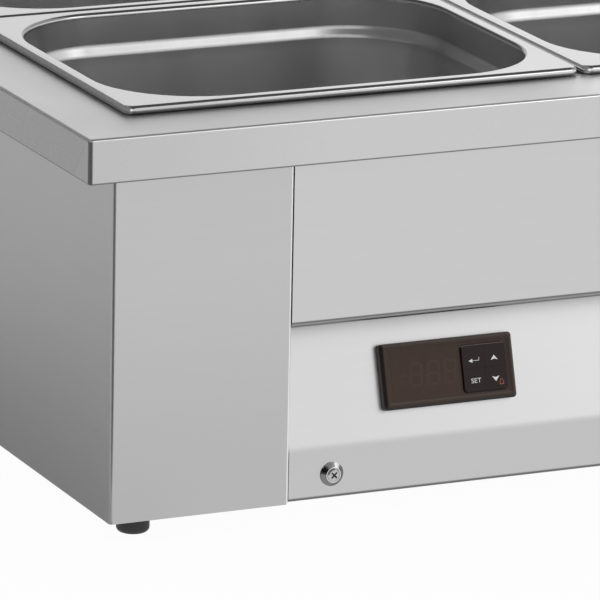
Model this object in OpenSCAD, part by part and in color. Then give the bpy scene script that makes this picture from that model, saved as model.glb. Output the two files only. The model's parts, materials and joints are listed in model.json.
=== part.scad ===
// Counter-top bain marie with a wet well and four half-size gastronorm pans

/* [Pans] */
// Width of one pan over its rim, left to right
pan_w = 325; // [300:1:350]
// Depth of one pan over its rim, front to back
pan_d = 265; // [240:1:290]
// Height of a pan from its rim down to its floor
pan_depth = 150; // [100:1:200]
// Thickness of a pan's sheet
pan_sheet = 0.8; // [0.6:0.1:1]
// Width of the flat rim round a pan's opening
rim_w = 10.5; // [10:0.5:12]
// Height of the turned-down rim above the counter
rim_h = 6; // [4:0.5:8]
// Outer corner radius of the rim
rim_corner_r = 7; // [5:0.5:7]
// Rounding along the top outer edge of the rim
rim_edge_r = 2.9; // [1.2:0.1:3]
// Rounding where the rim turns down into the opening
mouth_r = 3; // [1.5:0.1:3]
// Corner radius of a pan's opening
pan_corner_r = 68; // [60:1:75]
// Depth of the stacking shoulder below the rim
shoulder_drop = 23.5; // [14:0.5:25]
// Height over which the shoulder steps in
shoulder_h = 5.5; // [5:0.5:10]
// How far the shoulder steps in
shoulder_in = 3; // [2:0.5:5]
// Rounding of the shoulder's two bends
shoulder_r = 7; // [3:0.5:8]
// How much a pan's wall leans in below the shoulder
pan_draft = 5; // [2:0.5:7]
// Radius between a pan's wall and its floor
pan_floor_r = 18; // [10:1:22]
// Gap between the left and right pans
column_gap = 3; // [2:0.5:6]
// Gap between the front and rear pans
row_gap = 2; // [1.5:0.5:6]

/* [Counter] */
// Counter left over at each side of the pans
margin_x = 46; // [40:1:60]
// Counter left over in front of and behind the pans
margin_y = 50; // [46:1:60]
// Height of the turned-down fascia
fascia_h = 30; // [25:1:40]
// Width of the fold under the fascia
fascia_return = 10; // [6:1:11]
// Thickness of the cabinet's sheet
sheet = 1.2; // [0.8:0.1:1.4]
// Outer radius of the sheet's folds
fold_r = 2.5; // [1.8:0.1:3]

/* [Cabinet] */
// Height of the space between the cabinet's underside and the well
under_well = 92; // [86:1:110]
// Counter overhang at each side
side_overhang = 22; // [16:1:24]
// Counter overhang at the front
front_overhang = 12; // [11:1:14]
// Space between the well's flange and the back panel
back_space = 1.1; // [0.5:0.1:4]
// Width of the front face of each side panel
corner_w = 126; // [110:1:140]
// Gap along the seams between panels
seam = 0.5; // [0.5:0.1:1.5]
// Height of the sloping control panel, up to the panel above it
slope_h = 82; // [76:1:96]
// How far the slope leans back over that height
slope_depth = 25.1; // [20:0.1:29]
// Depth of the fold under the upper front panel
upper_return = 22; // [10:1:23]
// Outer radius of that fold
upper_fold_r = 5.5; // [1.8:0.1:6]
// Height of the upright strip below the control panel
strip_h = 36; // [33:1:38]
// How far the strip stands behind the front faces
strip_setback = 2; // [1:0.5:3]
// Gap under the strip's lower edge
strip_lift = 1.3; // [1:0.1:2]
// Outer radius of the soft fold between strip and slope
strip_fold_r = 8; // [4:0.5:10]
// Height of the base plate's front and rear folds
base_fold_h = 28; // [26:1:30]
// Width of the side panels' folds at the back
back_fold = 15; // [12:1:20]

/* [Well] */
// Depth of the water space under the pans
water_depth = 22; // [19:0.5:30]
// Space between the pans' sheet and the well's wall
well_clear = 3.2; // [2.5:0.1:3.5]
// Ledge of the well's flange inside the counter's opening
ledge = 3; // [2.5:0.5:4]
// Width of the well's flange
well_flange = 8; // [6:0.5:8]
// Inner corner radius of the well
well_corner_r = 20; // [14:1:24]
// Radius between the well's wall and its floor
well_floor_r = 2; // [1.5:0.1:2.2]
// Width of the bars that carry the pans
bar_w = 17; // [15:0.5:18]
// Height of the bars' turned-down sides
bar_h = 12; // [10:0.5:13]
// Thickness of the insulation slabs
insulation_t = 7; // [5:0.5:7]

/* [Heating] */
// Diameter of a heating element
element_d = 8.5; // [6.5:0.5:8.5]
// Height of the elements' axis above the well's floor
element_lift = 11.5; // [11:0.5:12]
// Bend radius of an element, half the distance between its legs
element_bend = 35; // [25:1:37]
// Space between an element's bend and the middle of the well
element_gap = 50; // [30:1:80]

/* [Feet] */
// Diameter of a foot
foot_d = 22; // [18:1:26]
// Height of a foot
foot_h = 15; // [12:1:20]
// Distance of a foot's axis from the cabinet's faces
foot_inset = 28; // [22:1:40]

/* [Fasteners] */
// Diameter of the control panel screws' shanks
panel_screw_d = 4.8; // [4:0.1:5]
// Diameter of the control panel screws' heads
panel_head_d = 8.8; // [8:0.1:9.4]
// Diameter of the cup washers
cup_d = 16.4; // [14:0.2:18]
// Height of the cup washers
cup_h = 3.4; // [3.2:0.1:3.8]
// Distance of the control panel screws from the panel's ends
panel_screw_inset = 31; // [20:1:45]
// Height of the control panel screws above the strip's lower edge
panel_screw_rise = 15.7; // [12:0.1:17]

/* [Controller] */
// Width of the controller's bezel
bezel_w = 96; // [92:1:100]
// Height of the controller's bezel
bezel_h = 43.5; // [42:0.5:46]
// Thickness of the controller's bezel
bezel_t = 6; // [5.5:0.5:7]
// Corner radius of the controller's bezel
bezel_r = 2.5; // [1:0.5:4]
// Distance of the controller from the panel's left end
controller_inset = 69; // [20:0.5:320]
// Position of the controller up the slope, from the fold
controller_rise = 40.5; // [36:0.5:44]
// Depth of the controller's case behind the panel
case_depth = 26; // [20:1:27]
// Border of the bezel above and below the window and the keys
face_margin = 6.25; // [6:0.25:8]
// Width of the block of four keys
keys_w = 32; // [28:0.5:36]
// Rib of the bezel between the window and the keys
rib_w = 2; // [1.5:0.5:4]
// Gap round and between the keys
key_gap = 0.3; // [0.2:0.05:0.5]
// How far the keys stand out of the bezel
key_proud = 1.2; // [0.9:0.1:2]
// Travel of a key
key_travel = 0.7; // [0.4:0.1:0.8]

/* [Drain] */
// Distance of the drain's axis from the well's rear wall
drain_inset = 50.5; // [40:0.5:65]
// Drop from the well's underside to the drain valve's axis
drain_drop = 47; // [40:1:52]
// Outer diameter of the drain pipe
drain_pipe_d = 18; // [16:0.5:20]
// Inner diameter of the drain pipe
drain_bore_d = 13; // [10:0.5:13]
// Outer diameter of the outlet's thread
outlet_d = 20.9; // [18:0.1:22]
// Length of the outlet's thread
outlet_length = 12; // [10:0.5:13]
// Length of the valve's hexagon body
valve_length = 27; // [26:0.5:28]
// Length of the valve's lever from its axis
lever_length = 48; // [40:1:60]

/* [Back] */
// Distance of the cable gland from the cabinet's right side
gland_inset = 150.5; // [90:0.5:200]
// Height of the cable gland and the bonding stud above the cabinet's underside
gland_rise = 47; // [42:1:60]
// Bore of the cable gland
gland_bore_d = 9; // [6:0.5:10]
// Distance of the bonding stud from the cabinet's left side
stud_inset = 150.5; // [90:0.5:200]
// Diameter of the bonding stud
stud_d = 6; // [5:0.5:8]
// Length of the bonding stud outside the back panel
stud_length = 20; // [16:1:30]

/* [Hidden] */
$fn = 64;

// Colours
steel = [0.78, 0.78, 0.78];
bright_steel = [0.86, 0.86, 0.86];
dark_steel = [0.55, 0.55, 0.56];
brass = [0.78, 0.64, 0.32];
black = [0.09, 0.09, 0.09];
brown_black = [0.2, 0.16, 0.15];
wool = [0.83, 0.78, 0.62];
white_plastic = [0.88, 0.88, 0.85];
green = [0.1, 0.4, 0.22];
red = [0.72, 0.1, 0.08];

// Overall sizes
pans_w = 2 * pan_w + column_gap;
pans_d = 2 * pan_d + row_gap;
counter_w = pans_w + 2 * margin_x;
counter_d = pans_d + 2 * margin_y;
well_w = pans_w - 2 * rim_w + 2 * (pan_sheet + well_clear);
well_d = pans_d - 2 * rim_w + 2 * (pan_sheet + well_clear);
body_bottom = foot_h;
well_under = body_bottom + under_well;
well_floor = well_under + sheet;
rim_top = well_floor + water_depth + pan_sheet + pan_depth;
counter_top = rim_top - rim_h;
counter_under = counter_top - sheet;
fascia_bottom = counter_top - fascia_h;
body_half = counter_w / 2 - side_overhang;
body_front = -counter_d / 2 + front_overhang;
body_back = well_d / 2 + well_flange + back_space + 2 * sheet;
counter_fold_r = fold_r - 0.4;
rim_return_r = min(rim_edge_r, rim_h - rim_edge_r - 0.2);
rim_return = rim_return_r + 0.8;
contact = 0.15;

// Fronts of the cabinet
bay_half = body_half - corner_w;
bay_return = strip_setback + slope_depth + 3;
strip_y = body_front + strip_setback;
strip_bottom = body_bottom + strip_lift;
fold_z = body_bottom + strip_h;
upper_bottom = fold_z + slope_h;
slope_top = upper_bottom + 6;
panel_tilt = atan(slope_depth / slope_h);
panel_half = bay_half - seam;
panel_screw_x = panel_half - panel_screw_inset;
panel_screw_z = strip_bottom + panel_screw_rise;

// Base and back
base_front = strip_y + sheet;
base_back = body_back - 2 * sheet;
base_half = body_half - sheet;
notch_clear = 0.6;
back_rise = 2;
back_half = base_half - fold_r;
back_face = body_back - sheet;
back_screw_d = 4;

// Well
opening_w = well_w + 2 * ledge;
opening_d = well_d + 2 * ledge;
bar_end_gap = 0.5;
bar_tongue = [16, 10];
tongue_drop = 4;
tongue_clear = 0.6;

// Heating
element_z = well_floor + element_lift;
fitting_hole_d = element_d + 5;
fitting_flange_d = element_d + 8;
seal_t = 1.5;
fitting_flange_t = 2;
fitting_nut_t = 5;
fitting_reach = 6;
element_tail = 14;
pin_d = 3;
probe_d = 6;
probe_length = 40;
probe_at = [-60, -150];
thermostat_d = 16;
thermostat_at = [60, -150];

// Fasteners
panel_screw_reach = 10;
cup_seat = 1;
cup_edge = 0.6;
screw_crown = 0.9;
back_head_h = 2.2;
back_screw_reach = 8;

// Feet
foot_x = body_half - foot_inset;
foot_front = body_front + foot_inset;
foot_back = body_back - foot_inset;
foot_screw_d = 4;
foot_recess_d = 8;
foot_recess_h = 6;
foot_edge_r = 3.5;

// Controller, in the slope's own frame
gasket_t = 0.8;
case_wall = 1.5;
case_margin = 3;
cutout_clear = 0.5;
case_w = bezel_w - 2 * case_margin;
case_h = bezel_h - 2 * case_margin;
bezel_front = gasket_t + bezel_t;
bezel_skin = 2.4;
skin_back = bezel_front - bezel_skin;
bezel_slant = 0.8 * bezel_r;
side_margin = case_margin + case_wall + 2;
controller_x = -panel_half + controller_inset + bezel_w / 2;
window_w = bezel_w - 2 * side_margin - keys_w - rib_w;
window_h = bezel_h - 2 * face_margin;
keys_h = window_h;
keys_x = bezel_w / 2 - side_margin - keys_w / 2;
window_x = -bezel_w / 2 + side_margin + window_w / 2;
window_lip = 1.2;
window_t = 1.3;
window_sink = 0.6;
board_t = 1.6;
board_front = -4.4;
switch_h = 1.2;
switch_d = 5;
skirt = 0.5;
skirt_t = 1;
skirt_clear = 0.3;
key_w = (keys_w - key_gap) / 2;
key_h = (keys_h - key_gap) / 2;
key_r = 2.5;
stem_d = 3;
display_w = window_w - 8;
display_h = window_h - 13;
display_front = skin_back - 0.4;
clip_size = [6, 20, 8];

// Cabinet interior and back fittings
base_top = body_bottom + sheet;
gland_x = body_half - gland_inset;
gland_z = body_bottom + gland_rise;
stud_x = body_half - stud_inset;
contactor_size = [46, 62, 58];
contactor_at = [160.5 - body_half, 60];
terminal_size = [60, 30, 26];
terminal_at = [gland_x, body_back - 66];
loom_d = 8;
gland_thread_d = gland_bore_d + 7;
gland_nut_t = 5;
gland_in = sheet + gland_nut_t + 2;
gland_out = 24;
gland_hex_h = 6;
gland_taper = 4;
stud_root_d = stud_d + 2;
stud_nut_t = 5;

// Drain
drain_y = well_d / 2 - drain_inset;
drain_z = well_under - drain_drop;
strainer_d = 44;
tail_d = 20.9;
tail_bottom = drain_z + 12;
socket_wall = 2.5;
socket_h = 8;
floor_hole_d = tail_d + 0.6;
gasket_h = 2;
locknut_h = 6;
pipe_clear = 3;
grommet_t = pipe_clear - 0.5;
grommet_lip = 1.2;
grommet_lip_w = 6;
fit = 0.1;
valve_start = body_back + 3;
valve_mid = valve_start + valve_length / 2;
valve_hex_r = 15;
ball_r = 9;
ball_clear = 0.08;
stem_r = 4;
bonnet_r = 7.5;
bonnet_top = 18;
lever_w = 12;
lever_t = 2.5;
lever_z = bonnet_top + 0.5;
grip_length = 28;
grip_wall = 1.5;
valve_nut_h = 4;

// Sheet outlines: a path of straight runs joined by round bends, with the sheet on the right of the path
function unit(v) = v / norm(v);
function right_of(v) = [v[1], -v[0]];
function turned(v, a) = [v[0] * cos(a) - v[1] * sin(a), v[0] * sin(a) + v[1] * cos(a)];
function turn_angle(u, v) = atan2(u[0] * v[1] - u[1] * v[0], u * v);
function bend(a, p, b, r, steps) =
    let (
        u = unit(p - a),
        angle = turn_angle(u, unit(b - p)),
        side = sign(angle),
        start = p - u * r * tan(abs(angle) / 2),
        centre = start - side * r * right_of(u)
    )
    [for (i = [0 : steps]) let (n = right_of(turned(u, angle * i / steps))) [centre + side * r * n, n]];
function path_points(path, radii, steps) =
    let (last = len(path) - 1)
    concat(
        [[path[0], right_of(unit(path[1] - path[0]))]],
        [for (i = [1 : 1 : last - 1]) each bend(path[i - 1], path[i], path[i + 1], radii[i - 1], steps)],
        [[path[last], right_of(unit(path[last] - path[last - 1]))]]
    );
module sheet_line(path, radii, t, steps = 6) {
    points = path_points(path, radii, steps);
    polygon(concat(
        [for (q = points) q[0]],
        [for (i = [len(points) - 1 : -1 : 0]) points[i][0] + t * points[i][1]]
    ));
}

// Rectangle with round corners
module round_rect(w, d, r) {
    square([w - 2 * r, d], center = true);
    square([w, d - 2 * r], center = true);
    for (x = [-1, 1], y = [-1, 1]) translate([x * (w / 2 - r), y * (d / 2 - r)]) circle(r);
}

// Carries a profile round a rectangle with round corners; the profile's x runs out from the corners' centres
module ring_sweep(w, d, r) {
    for (i = [0 : 3]) {
        along = (i % 2 == 0 ? d : w) - 2 * r;
        out = (i % 2 == 0 ? w : d) / 2 - r;
        rotate(90 * i) translate([out, along / 2, 0]) {
            rotate([90, 0, 0]) linear_extrude(along) children();
            rotate_extrude(angle = 90) children();
        }
    }
}

// Extrudes a profile drawn in Y and Z along X, centred
module along_x(length) {
    translate([-length / 2, 0, 0]) rotate([90, 0, 90]) linear_extrude(length) children();
}

// Turns a shape built along +Z to point out of the front, or out of the back
module facing_front() {
    rotate([90, 0, 0]) children();
}
module facing_back() {
    rotate([-90, 0, 0]) children();
}

// The control slope's own frame: X along it, Y up it, Z out of it
module on_slope() {
    translate([0, strip_y, fold_z]) rotate([90 - panel_tilt, 0, 0]) children();
}
module at_controller() {
    on_slope() translate([controller_x, controller_rise, 0]) children();
}

// A round bar between two points
module link(a, b, d) {
    v = b - a;
    translate(a) rotate([0, acos(v[2] / norm(v)), atan2(v[1], v[0])]) cylinder(h = norm(v), d = d);
}

// Cross-shaped driver recess, cut from z = 0 downwards
module cross_recess(width, depth) {
    for (a = [0, 90]) rotate(a)
        translate([-width / 2, -width / 10, -depth]) cube([width, width / 5, depth + 1]);
}

// Counter
module countertop() {
    color(steel) difference() {
        union() {
            translate([0, 0, counter_top]) ring_sweep(counter_w, counter_d, fold_r)
                sheet_line([[0, 0], [fold_r, 0], [fold_r, -fascia_h]], [counter_fold_r], sheet);
            translate([0, 0, counter_under]) linear_extrude(sheet)
                square([counter_w - 2 * fold_r, counter_d - 2 * fold_r], center = true);
            translate([0, 0, fascia_bottom]) linear_extrude(sheet) difference() {
                round_rect(counter_w, counter_d, fold_r);
                square([counter_w - 2 * fascia_return, counter_d - 2 * fascia_return], center = true);
            }
        }
        translate([0, 0, counter_under - 1]) linear_extrude(sheet + 2)
            round_rect(opening_w, opening_d, well_corner_r + ledge);
    }
}

// Cabinet
module side_panel() {
    difference() {
        translate([0, 0, body_bottom]) linear_extrude(counter_under - body_bottom) sheet_line(
            [
                [-bay_half, body_front + bay_return],
                [-bay_half, body_front],
                [-body_half, body_front],
                [-body_half, body_back],
                [-body_half + back_fold, body_back]
            ],
            [fold_r, fold_r, fold_r], sheet
        );
        back_screw_holes();
    }
}
module left_side_panel() {
    color(steel) side_panel();
}
module right_side_panel() {
    color(steel) mirror([1, 0, 0]) side_panel();
}
module upper_front_panel() {
    color(steel) along_x(2 * panel_half) sheet_line(
        [[body_front + upper_return, upper_bottom], [body_front, upper_bottom], [body_front, counter_under]],
        [upper_fold_r], sheet
    );
}
module control_panel() {
    slope_y = strip_y + (slope_top - fold_z) * tan(panel_tilt);
    color(bright_steel) difference() {
        along_x(2 * panel_half) sheet_line(
            [[strip_y, strip_bottom], [strip_y, fold_z], [slope_y, slope_top]],
            [strip_fold_r], sheet
        );
        at_controller() translate([0, 0, -sheet - 1]) linear_extrude(sheet + 2)
            square([case_w + 2 * cutout_clear, case_h + 2 * cutout_clear], center = true);
        for (x = [-1, 1]) translate([x * panel_screw_x, strip_y - 1, panel_screw_z])
            facing_back() cylinder(h = sheet + 2, d = panel_screw_d + 0.6);
    }
}
module back_panel() {
    height = counter_under - body_bottom - back_rise;
    color(steel) difference() {
        translate([-back_half, back_face - sheet, body_bottom + back_rise])
            cube([2 * back_half, sheet, height]);
        translate([0, back_face - sheet - 1, 0]) facing_back() {
            translate([0, -drain_z, 0]) cylinder(h = sheet + 2, d = drain_pipe_d + 2 * pipe_clear);
            translate([gland_x, -gland_z, 0]) cylinder(h = sheet + 2, d = gland_thread_d + 0.4);
            translate([-stud_x, -gland_z, 0]) cylinder(h = sheet + 2, d = stud_root_d + 0.2);
        }
        back_screw_holes();
    }
}
module base_plate() {
    color(steel) difference() {
        along_x(2 * base_half) sheet_line(
            [
                [base_back, body_bottom + base_fold_h],
                [base_back, body_bottom],
                [base_front, body_bottom],
                [base_front, body_bottom + base_fold_h]
            ],
            [fold_r, fold_r], sheet
        );
        for (x = [-1, 1]) {
            translate([x * (bay_half + sheet / 2) - sheet / 2 - notch_clear, body_front - 1, 0])
                cube([sheet + 2 * notch_clear, bay_return + 2, fascia_bottom]);
            translate([x * panel_screw_x, base_front - 1, panel_screw_z])
                facing_back() cylinder(h = sheet + 2, d = panel_screw_d + 0.2);
        }
        foot_places() translate([0, 0, body_bottom - 1]) cylinder(h = sheet + 2, d = foot_screw_d + 0.2);
        translate([0, base_back - 3 * fold_r, drain_z]) facing_back()
            cylinder(h = 4 * fold_r, d = drain_pipe_d + 2 * pipe_clear);
    }
}

// Well and bars
module well() {
    color(bright_steel) difference() {
        union() {
            ring_sweep(well_w, well_d, well_corner_r) sheet_line(
                [[0, well_floor], [well_corner_r, well_floor], [well_corner_r, counter_under]],
                [well_floor_r], sheet
            );
            translate([0, 0, well_under]) linear_extrude(sheet)
                square([well_w - 2 * well_corner_r, well_d - 2 * well_corner_r], center = true);
            translate([0, 0, counter_under - sheet]) linear_extrude(sheet) difference() {
                square([well_w + 2 * well_flange, well_d + 2 * well_flange], center = true);
                round_rect(well_w, well_d, well_corner_r);
            }
        }
        translate([0, drain_y, well_under - 1]) cylinder(h = sheet + 2, d = floor_hole_d);
        fitting_places() translate([0, 0, -sheet - 1]) cylinder(h = sheet + 2, d = fitting_hole_d);
    }
}
module channel(length, flange_length) {
    translate([-bar_w / 2, -length / 2, counter_under]) cube([bar_w, length, sheet]);
    for (x = [-bar_w / 2, bar_w / 2 - sheet])
        translate([x, -flange_length / 2, counter_top - bar_h]) cube([sheet, flange_length, bar_h]);
}
module divider_bar() {
    slot = [bar_w + 2, bar_tongue[1] + 2 * tongue_clear, sheet + 2 * tongue_clear];
    color(bright_steel) difference() {
        channel(opening_d - 2 * bar_end_gap, well_d - 2 * bar_end_gap);
        translate([-slot[0] / 2, -slot[1] / 2, counter_under - tongue_drop - sheet - tongue_clear])
            cube(slot);
    }
}
module cross_bar() {
    start = bar_w / 2 + bar_end_gap;
    end = opening_w / 2 - bar_end_gap;
    flange_end = well_w / 2 - bar_end_gap;
    tongue_z = counter_under - tongue_drop - sheet;
    translate([start, -bar_w / 2, counter_under]) cube([end - start, bar_w, sheet]);
    for (y = [-bar_w / 2, bar_w / 2 - sheet])
        translate([start, y, counter_top - bar_h]) cube([flange_end - start, sheet, bar_h]);
    translate([start, -bar_w / 2, tongue_z]) cube([bar_tongue[0], bar_w, sheet]);
    translate([start - bar_tongue[0] / 3, -bar_tongue[1] / 2, tongue_z])
        cube([bar_tongue[0], bar_tongue[1], sheet]);
}
module cross_bars() {
    color(bright_steel) {
        cross_bar();
        mirror([1, 0, 0]) cross_bar();
    }
}

// Pans
module pan(column, row) {
    wall_r = pan_corner_r - shoulder_in;
    hole_w = pan_w - 2 * rim_w;
    hole_d = pan_d - 2 * rim_w;
    color(bright_steel)
    translate([column * (pan_w + column_gap) / 2, row * (pan_d + row_gap) / 2, rim_top]) {
        ring_sweep(hole_w, hole_d, pan_corner_r) sheet_line(
            [
                [0, -pan_depth],
                [wall_r - pan_draft, -pan_depth],
                [wall_r, -shoulder_drop - shoulder_h],
                [pan_corner_r, -shoulder_drop],
                [pan_corner_r, 0],
                [pan_corner_r + mouth_r + 1, 0]
            ],
            [pan_floor_r, shoulder_r, shoulder_r, mouth_r], pan_sheet
        );
        translate([0, 0, -pan_depth - pan_sheet]) linear_extrude(pan_sheet)
            square([hole_w - 2 * pan_corner_r, hole_d - 2 * pan_corner_r], center = true);
        ring_sweep(pan_w, pan_d, rim_corner_r) sheet_line(
            [[0, 0], [rim_corner_r, 0], [rim_corner_r, -rim_h], [rim_corner_r - rim_return, -rim_h]],
            [rim_edge_r, rim_return_r], pan_sheet
        );
        translate([0, 0, -pan_sheet]) linear_extrude(pan_sheet) difference() {
            square([pan_w - 2 * rim_corner_r, pan_d - 2 * rim_corner_r], center = true);
            round_rect(hole_w + 2 * mouth_r, hole_d + 2 * mouth_r, pan_corner_r + mouth_r);
        }
    }
}
module pan_front_left() {
    pan(-1, -1);
}
module pan_front_right() {
    pan(1, -1);
}
module pan_rear_left() {
    pan(-1, 1);
}
module pan_rear_right() {
    pan(1, 1);
}

// Insulation and heating
module insulation() {
    low = element_z + fitting_flange_d / 2 + 2;
    high = counter_under - sheet;
    half_w = well_w / 2 + sheet;
    half_d = well_d / 2 + sheet;
    end = well_corner_r + 5;
    color(wool) {
        for (y = [-half_d - insulation_t, half_d])
            translate([-half_w + end, y, low]) cube([2 * (half_w - end), insulation_t, high - low]);
        for (x = [-half_w - insulation_t, half_w])
            translate([x, -half_d + end, low]) cube([insulation_t, 2 * (half_d - end), high - low]);
    }
}
// Four places on the side walls' inner faces, with Z pointing into the well
module fitting_places() {
    for (x = [-1, 1], y = [-1, 1])
        translate([x * well_w / 2, y * element_bend, element_z]) rotate([0, -90 * x, 0]) children();
}
module element() {
    leg_start = well_w / 2 + sheet + element_tail;
    leg_end = element_gap + element_bend;
    for (y = [-1, 1]) {
        translate([leg_end, y * element_bend, element_z]) rotate([0, 90, 0])
            cylinder(h = leg_start - leg_end, d = element_d);
        translate([leg_start, y * element_bend, element_z]) rotate([0, 90, 0]) cylinder(h = 8, d = pin_d);
    }
    translate([leg_end, 0, element_z]) rotate(90) rotate_extrude(angle = 180)
        translate([element_bend, 0]) circle(d = element_d);
}
module right_element() {
    color(dark_steel) element();
}
module left_element() {
    color(dark_steel) mirror([1, 0, 0]) element();
}
module element_fittings() {
    color(brass) fitting_places() difference() {
        union() {
            translate([0, 0, seal_t]) cylinder(h = fitting_flange_t, d = fitting_flange_d);
            translate([0, 0, -sheet - fitting_reach])
                cylinder(h = fitting_reach + sheet + seal_t, d = fitting_hole_d - 4 * fit);
            translate([0, 0, -sheet - fitting_nut_t])
                cylinder(h = fitting_nut_t, d = fitting_flange_d, $fn = 6);
        }
        translate([0, 0, -element_tail]) cylinder(h = 2 * element_tail, d = element_d + fit);
    }
}
module element_seals() {
    color(black) fitting_places() difference() {
        cylinder(h = seal_t, d = fitting_flange_d);
        translate([0, 0, -1]) cylinder(h = seal_t + 2, d = fitting_hole_d);
    }
}
module element_clips() {
    post_w = 12;
    post_h = element_lift - element_d / 2 - 0.1;
    color(bright_steel) for (x = [-1, 1])
        translate([x * (element_gap + 1) - post_w / 2, -post_w / 2, well_floor]) {
            cube([post_w, post_w, sheet]);
            translate([(post_w - sheet) / 2, 0, 0]) cube([sheet, post_w, post_h]);
        }
}
module temperature_probe() {
    color(dark_steel) translate([probe_at[0], probe_at[1], well_under - probe_d / 2 - contact])
        translate([-probe_length / 2, 0, 0]) rotate([0, 90, 0]) cylinder(h = probe_length, d = probe_d);
}
module probe_clip() {
    clip_w = probe_d + 10;
    strap = 1;
    hollow = probe_d + 2 * contact;
    color(steel) translate([probe_at[0], probe_at[1], well_under]) along_x(12) difference() {
        union() {
            translate([-clip_w / 2, -strap]) square([clip_w, strap]);
            translate([-hollow / 2 - strap, -hollow - strap]) square([hollow + 2 * strap, hollow + strap]);
        }
        translate([-hollow / 2, -hollow]) square([hollow, 2 * hollow]);
    }
}
module safety_thermostat() {
    color(black) translate([thermostat_at[0], thermostat_at[1], well_under]) {
        translate([0, 0, -2]) cylinder(h = 2, d = thermostat_d + 4);
        translate([0, 0, -12]) cylinder(h = 10, d = thermostat_d);
        for (x = [-4, 4]) translate([x - 0.4, -3, -20]) cube([0.8, 6, 8]);
    }
}

// Feet and fasteners
module foot_places() {
    for (x = [-foot_x, foot_x], y = [foot_front, foot_back]) translate([x, y, 0]) children();
}
module feet() {
    r = foot_d / 2;
    color(black) foot_places() rotate_extrude() difference() {
        union() {
            translate([0, foot_edge_r]) square([r, foot_h - foot_edge_r]);
            square([r - foot_edge_r, foot_h]);
            translate([r - foot_edge_r, foot_edge_r]) circle(foot_edge_r);
        }
        translate([-r, -1]) square([r, foot_h + 2]);
        translate([-1, -1]) square([1 + foot_recess_d / 2, 1 + foot_recess_h]);
        translate([-1, -1]) square([1 + foot_screw_d / 2 + 0.2, foot_h + 2]);
    }
}
module foot_screws() {
    head_h = 2.4;
    color(dark_steel) foot_places() difference() {
        union() {
            translate([0, 0, foot_recess_h - head_h]) cylinder(h = head_h, d = foot_recess_d - 2);
            translate([0, 0, foot_recess_h])
                cylinder(h = foot_h - foot_recess_h + sheet + foot_screw_d, d = foot_screw_d);
        }
        translate([0, 0, foot_recess_h - head_h]) rotate([180, 0, 0]) cross_recess(4, 1.6);
    }
}
module panel_screw_places() {
    for (x = [-1, 1]) translate([x * panel_screw_x, strip_y, panel_screw_z]) facing_front() children();
}
module panel_screws() {
    r = panel_screw_d / 2;
    head_r = panel_head_d / 2;
    color(bright_steel) panel_screw_places() difference() {
        union() {
            translate([0, 0, -panel_screw_reach]) cylinder(h = panel_screw_reach + cup_seat, r = r);
            translate([0, 0, cup_seat]) cylinder(h = cup_h - cup_seat, r1 = r, r2 = head_r);
            translate([0, 0, cup_h]) cylinder(h = screw_crown, r1 = head_r, r2 = head_r - screw_crown);
        }
        translate([0, 0, cup_h + screw_crown]) rotate(45) cross_recess(head_r * 1.2, 2 * screw_crown);
    }
}
module cup_washers() {
    bore_r = panel_screw_d / 2 + contact;
    top_r = panel_head_d / 2 + contact;
    color(bright_steel) panel_screw_places() rotate_extrude() polygon([
        [bore_r, 0], [cup_d / 2, 0], [cup_d / 2, cup_edge],
        [top_r + cup_edge, cup_h], [top_r, cup_h], [bore_r, cup_seat]
    ]);
}
// Places on the back, with Z pointing out of it: three up each side fold
module back_screw_places() {
    body_h = fascia_bottom - body_bottom;
    for (x = [-1, 1], z = [0.15, 0.5, 0.85])
        translate([x * (body_half - back_fold / 2), body_back, body_bottom + z * body_h])
            facing_back() children();
}
module back_screw_holes() {
    back_screw_places() translate([0, 0, -2 * sheet - 1]) cylinder(h = 2 * sheet + 2, d = back_screw_d + 0.2);
}
module back_screws() {
    color(bright_steel) back_screw_places() difference() {
        union() {
            cylinder(h = back_head_h, d = 2 * back_screw_d);
            translate([0, 0, -back_screw_reach]) cylinder(h = back_screw_reach, d = back_screw_d);
        }
        translate([0, 0, back_head_h]) cross_recess(back_screw_d, back_head_h * 0.6);
    }
}

// Controller
module controller_gasket() {
    color(black) at_controller() linear_extrude(gasket_t) difference() {
        round_rect(bezel_w - 1, bezel_h - 1, bezel_r);
        square([case_w + 2 * cutout_clear, case_h + 2 * cutout_clear], center = true);
    }
}
module controller_bezel() {
    lip_w = window_w - 2 * window_lip;
    lip_h = window_h - 2 * window_lip;
    color(brown_black) at_controller() difference() {
        union() {
            ring_sweep(bezel_w, bezel_h, bezel_r) polygon([
                [0, gasket_t],
                [bezel_r, gasket_t],
                [bezel_r, bezel_front - bezel_slant],
                [bezel_r - bezel_slant, bezel_front],
                [0, bezel_front]
            ]);
            translate([0, 0, gasket_t]) linear_extrude(bezel_t)
                square([bezel_w - 2 * bezel_r, bezel_h - 2 * bezel_r], center = true);
        }
        translate([0, 0, gasket_t - 1]) linear_extrude(skin_back - gasket_t + 1)
            square([case_w - 2 * case_wall, case_h - 2 * case_wall], center = true);
        translate([window_x, 0, bezel_front - window_sink - window_t]) linear_extrude(bezel_t)
            square([window_w, window_h], center = true);
        translate([window_x, 0, 0]) linear_extrude(2 * bezel_t) square([lip_w, lip_h], center = true);
        translate([keys_x, 0, 0]) linear_extrude(2 * bezel_t)
            round_rect(keys_w + 2 * key_gap, keys_h + 2 * key_gap, key_r + key_gap);
    }
}
module controller_window() {
    color(brown_black) at_controller() translate([window_x, 0, bezel_front - window_sink - window_t])
        linear_extrude(window_t) square([window_w, window_h], center = true);
}
module controller_display() {
    color(white_plastic) at_controller() translate([window_x - display_w / 2, -display_h / 2, board_front])
        cube([display_w, display_h, display_front - board_front]);
}
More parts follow.
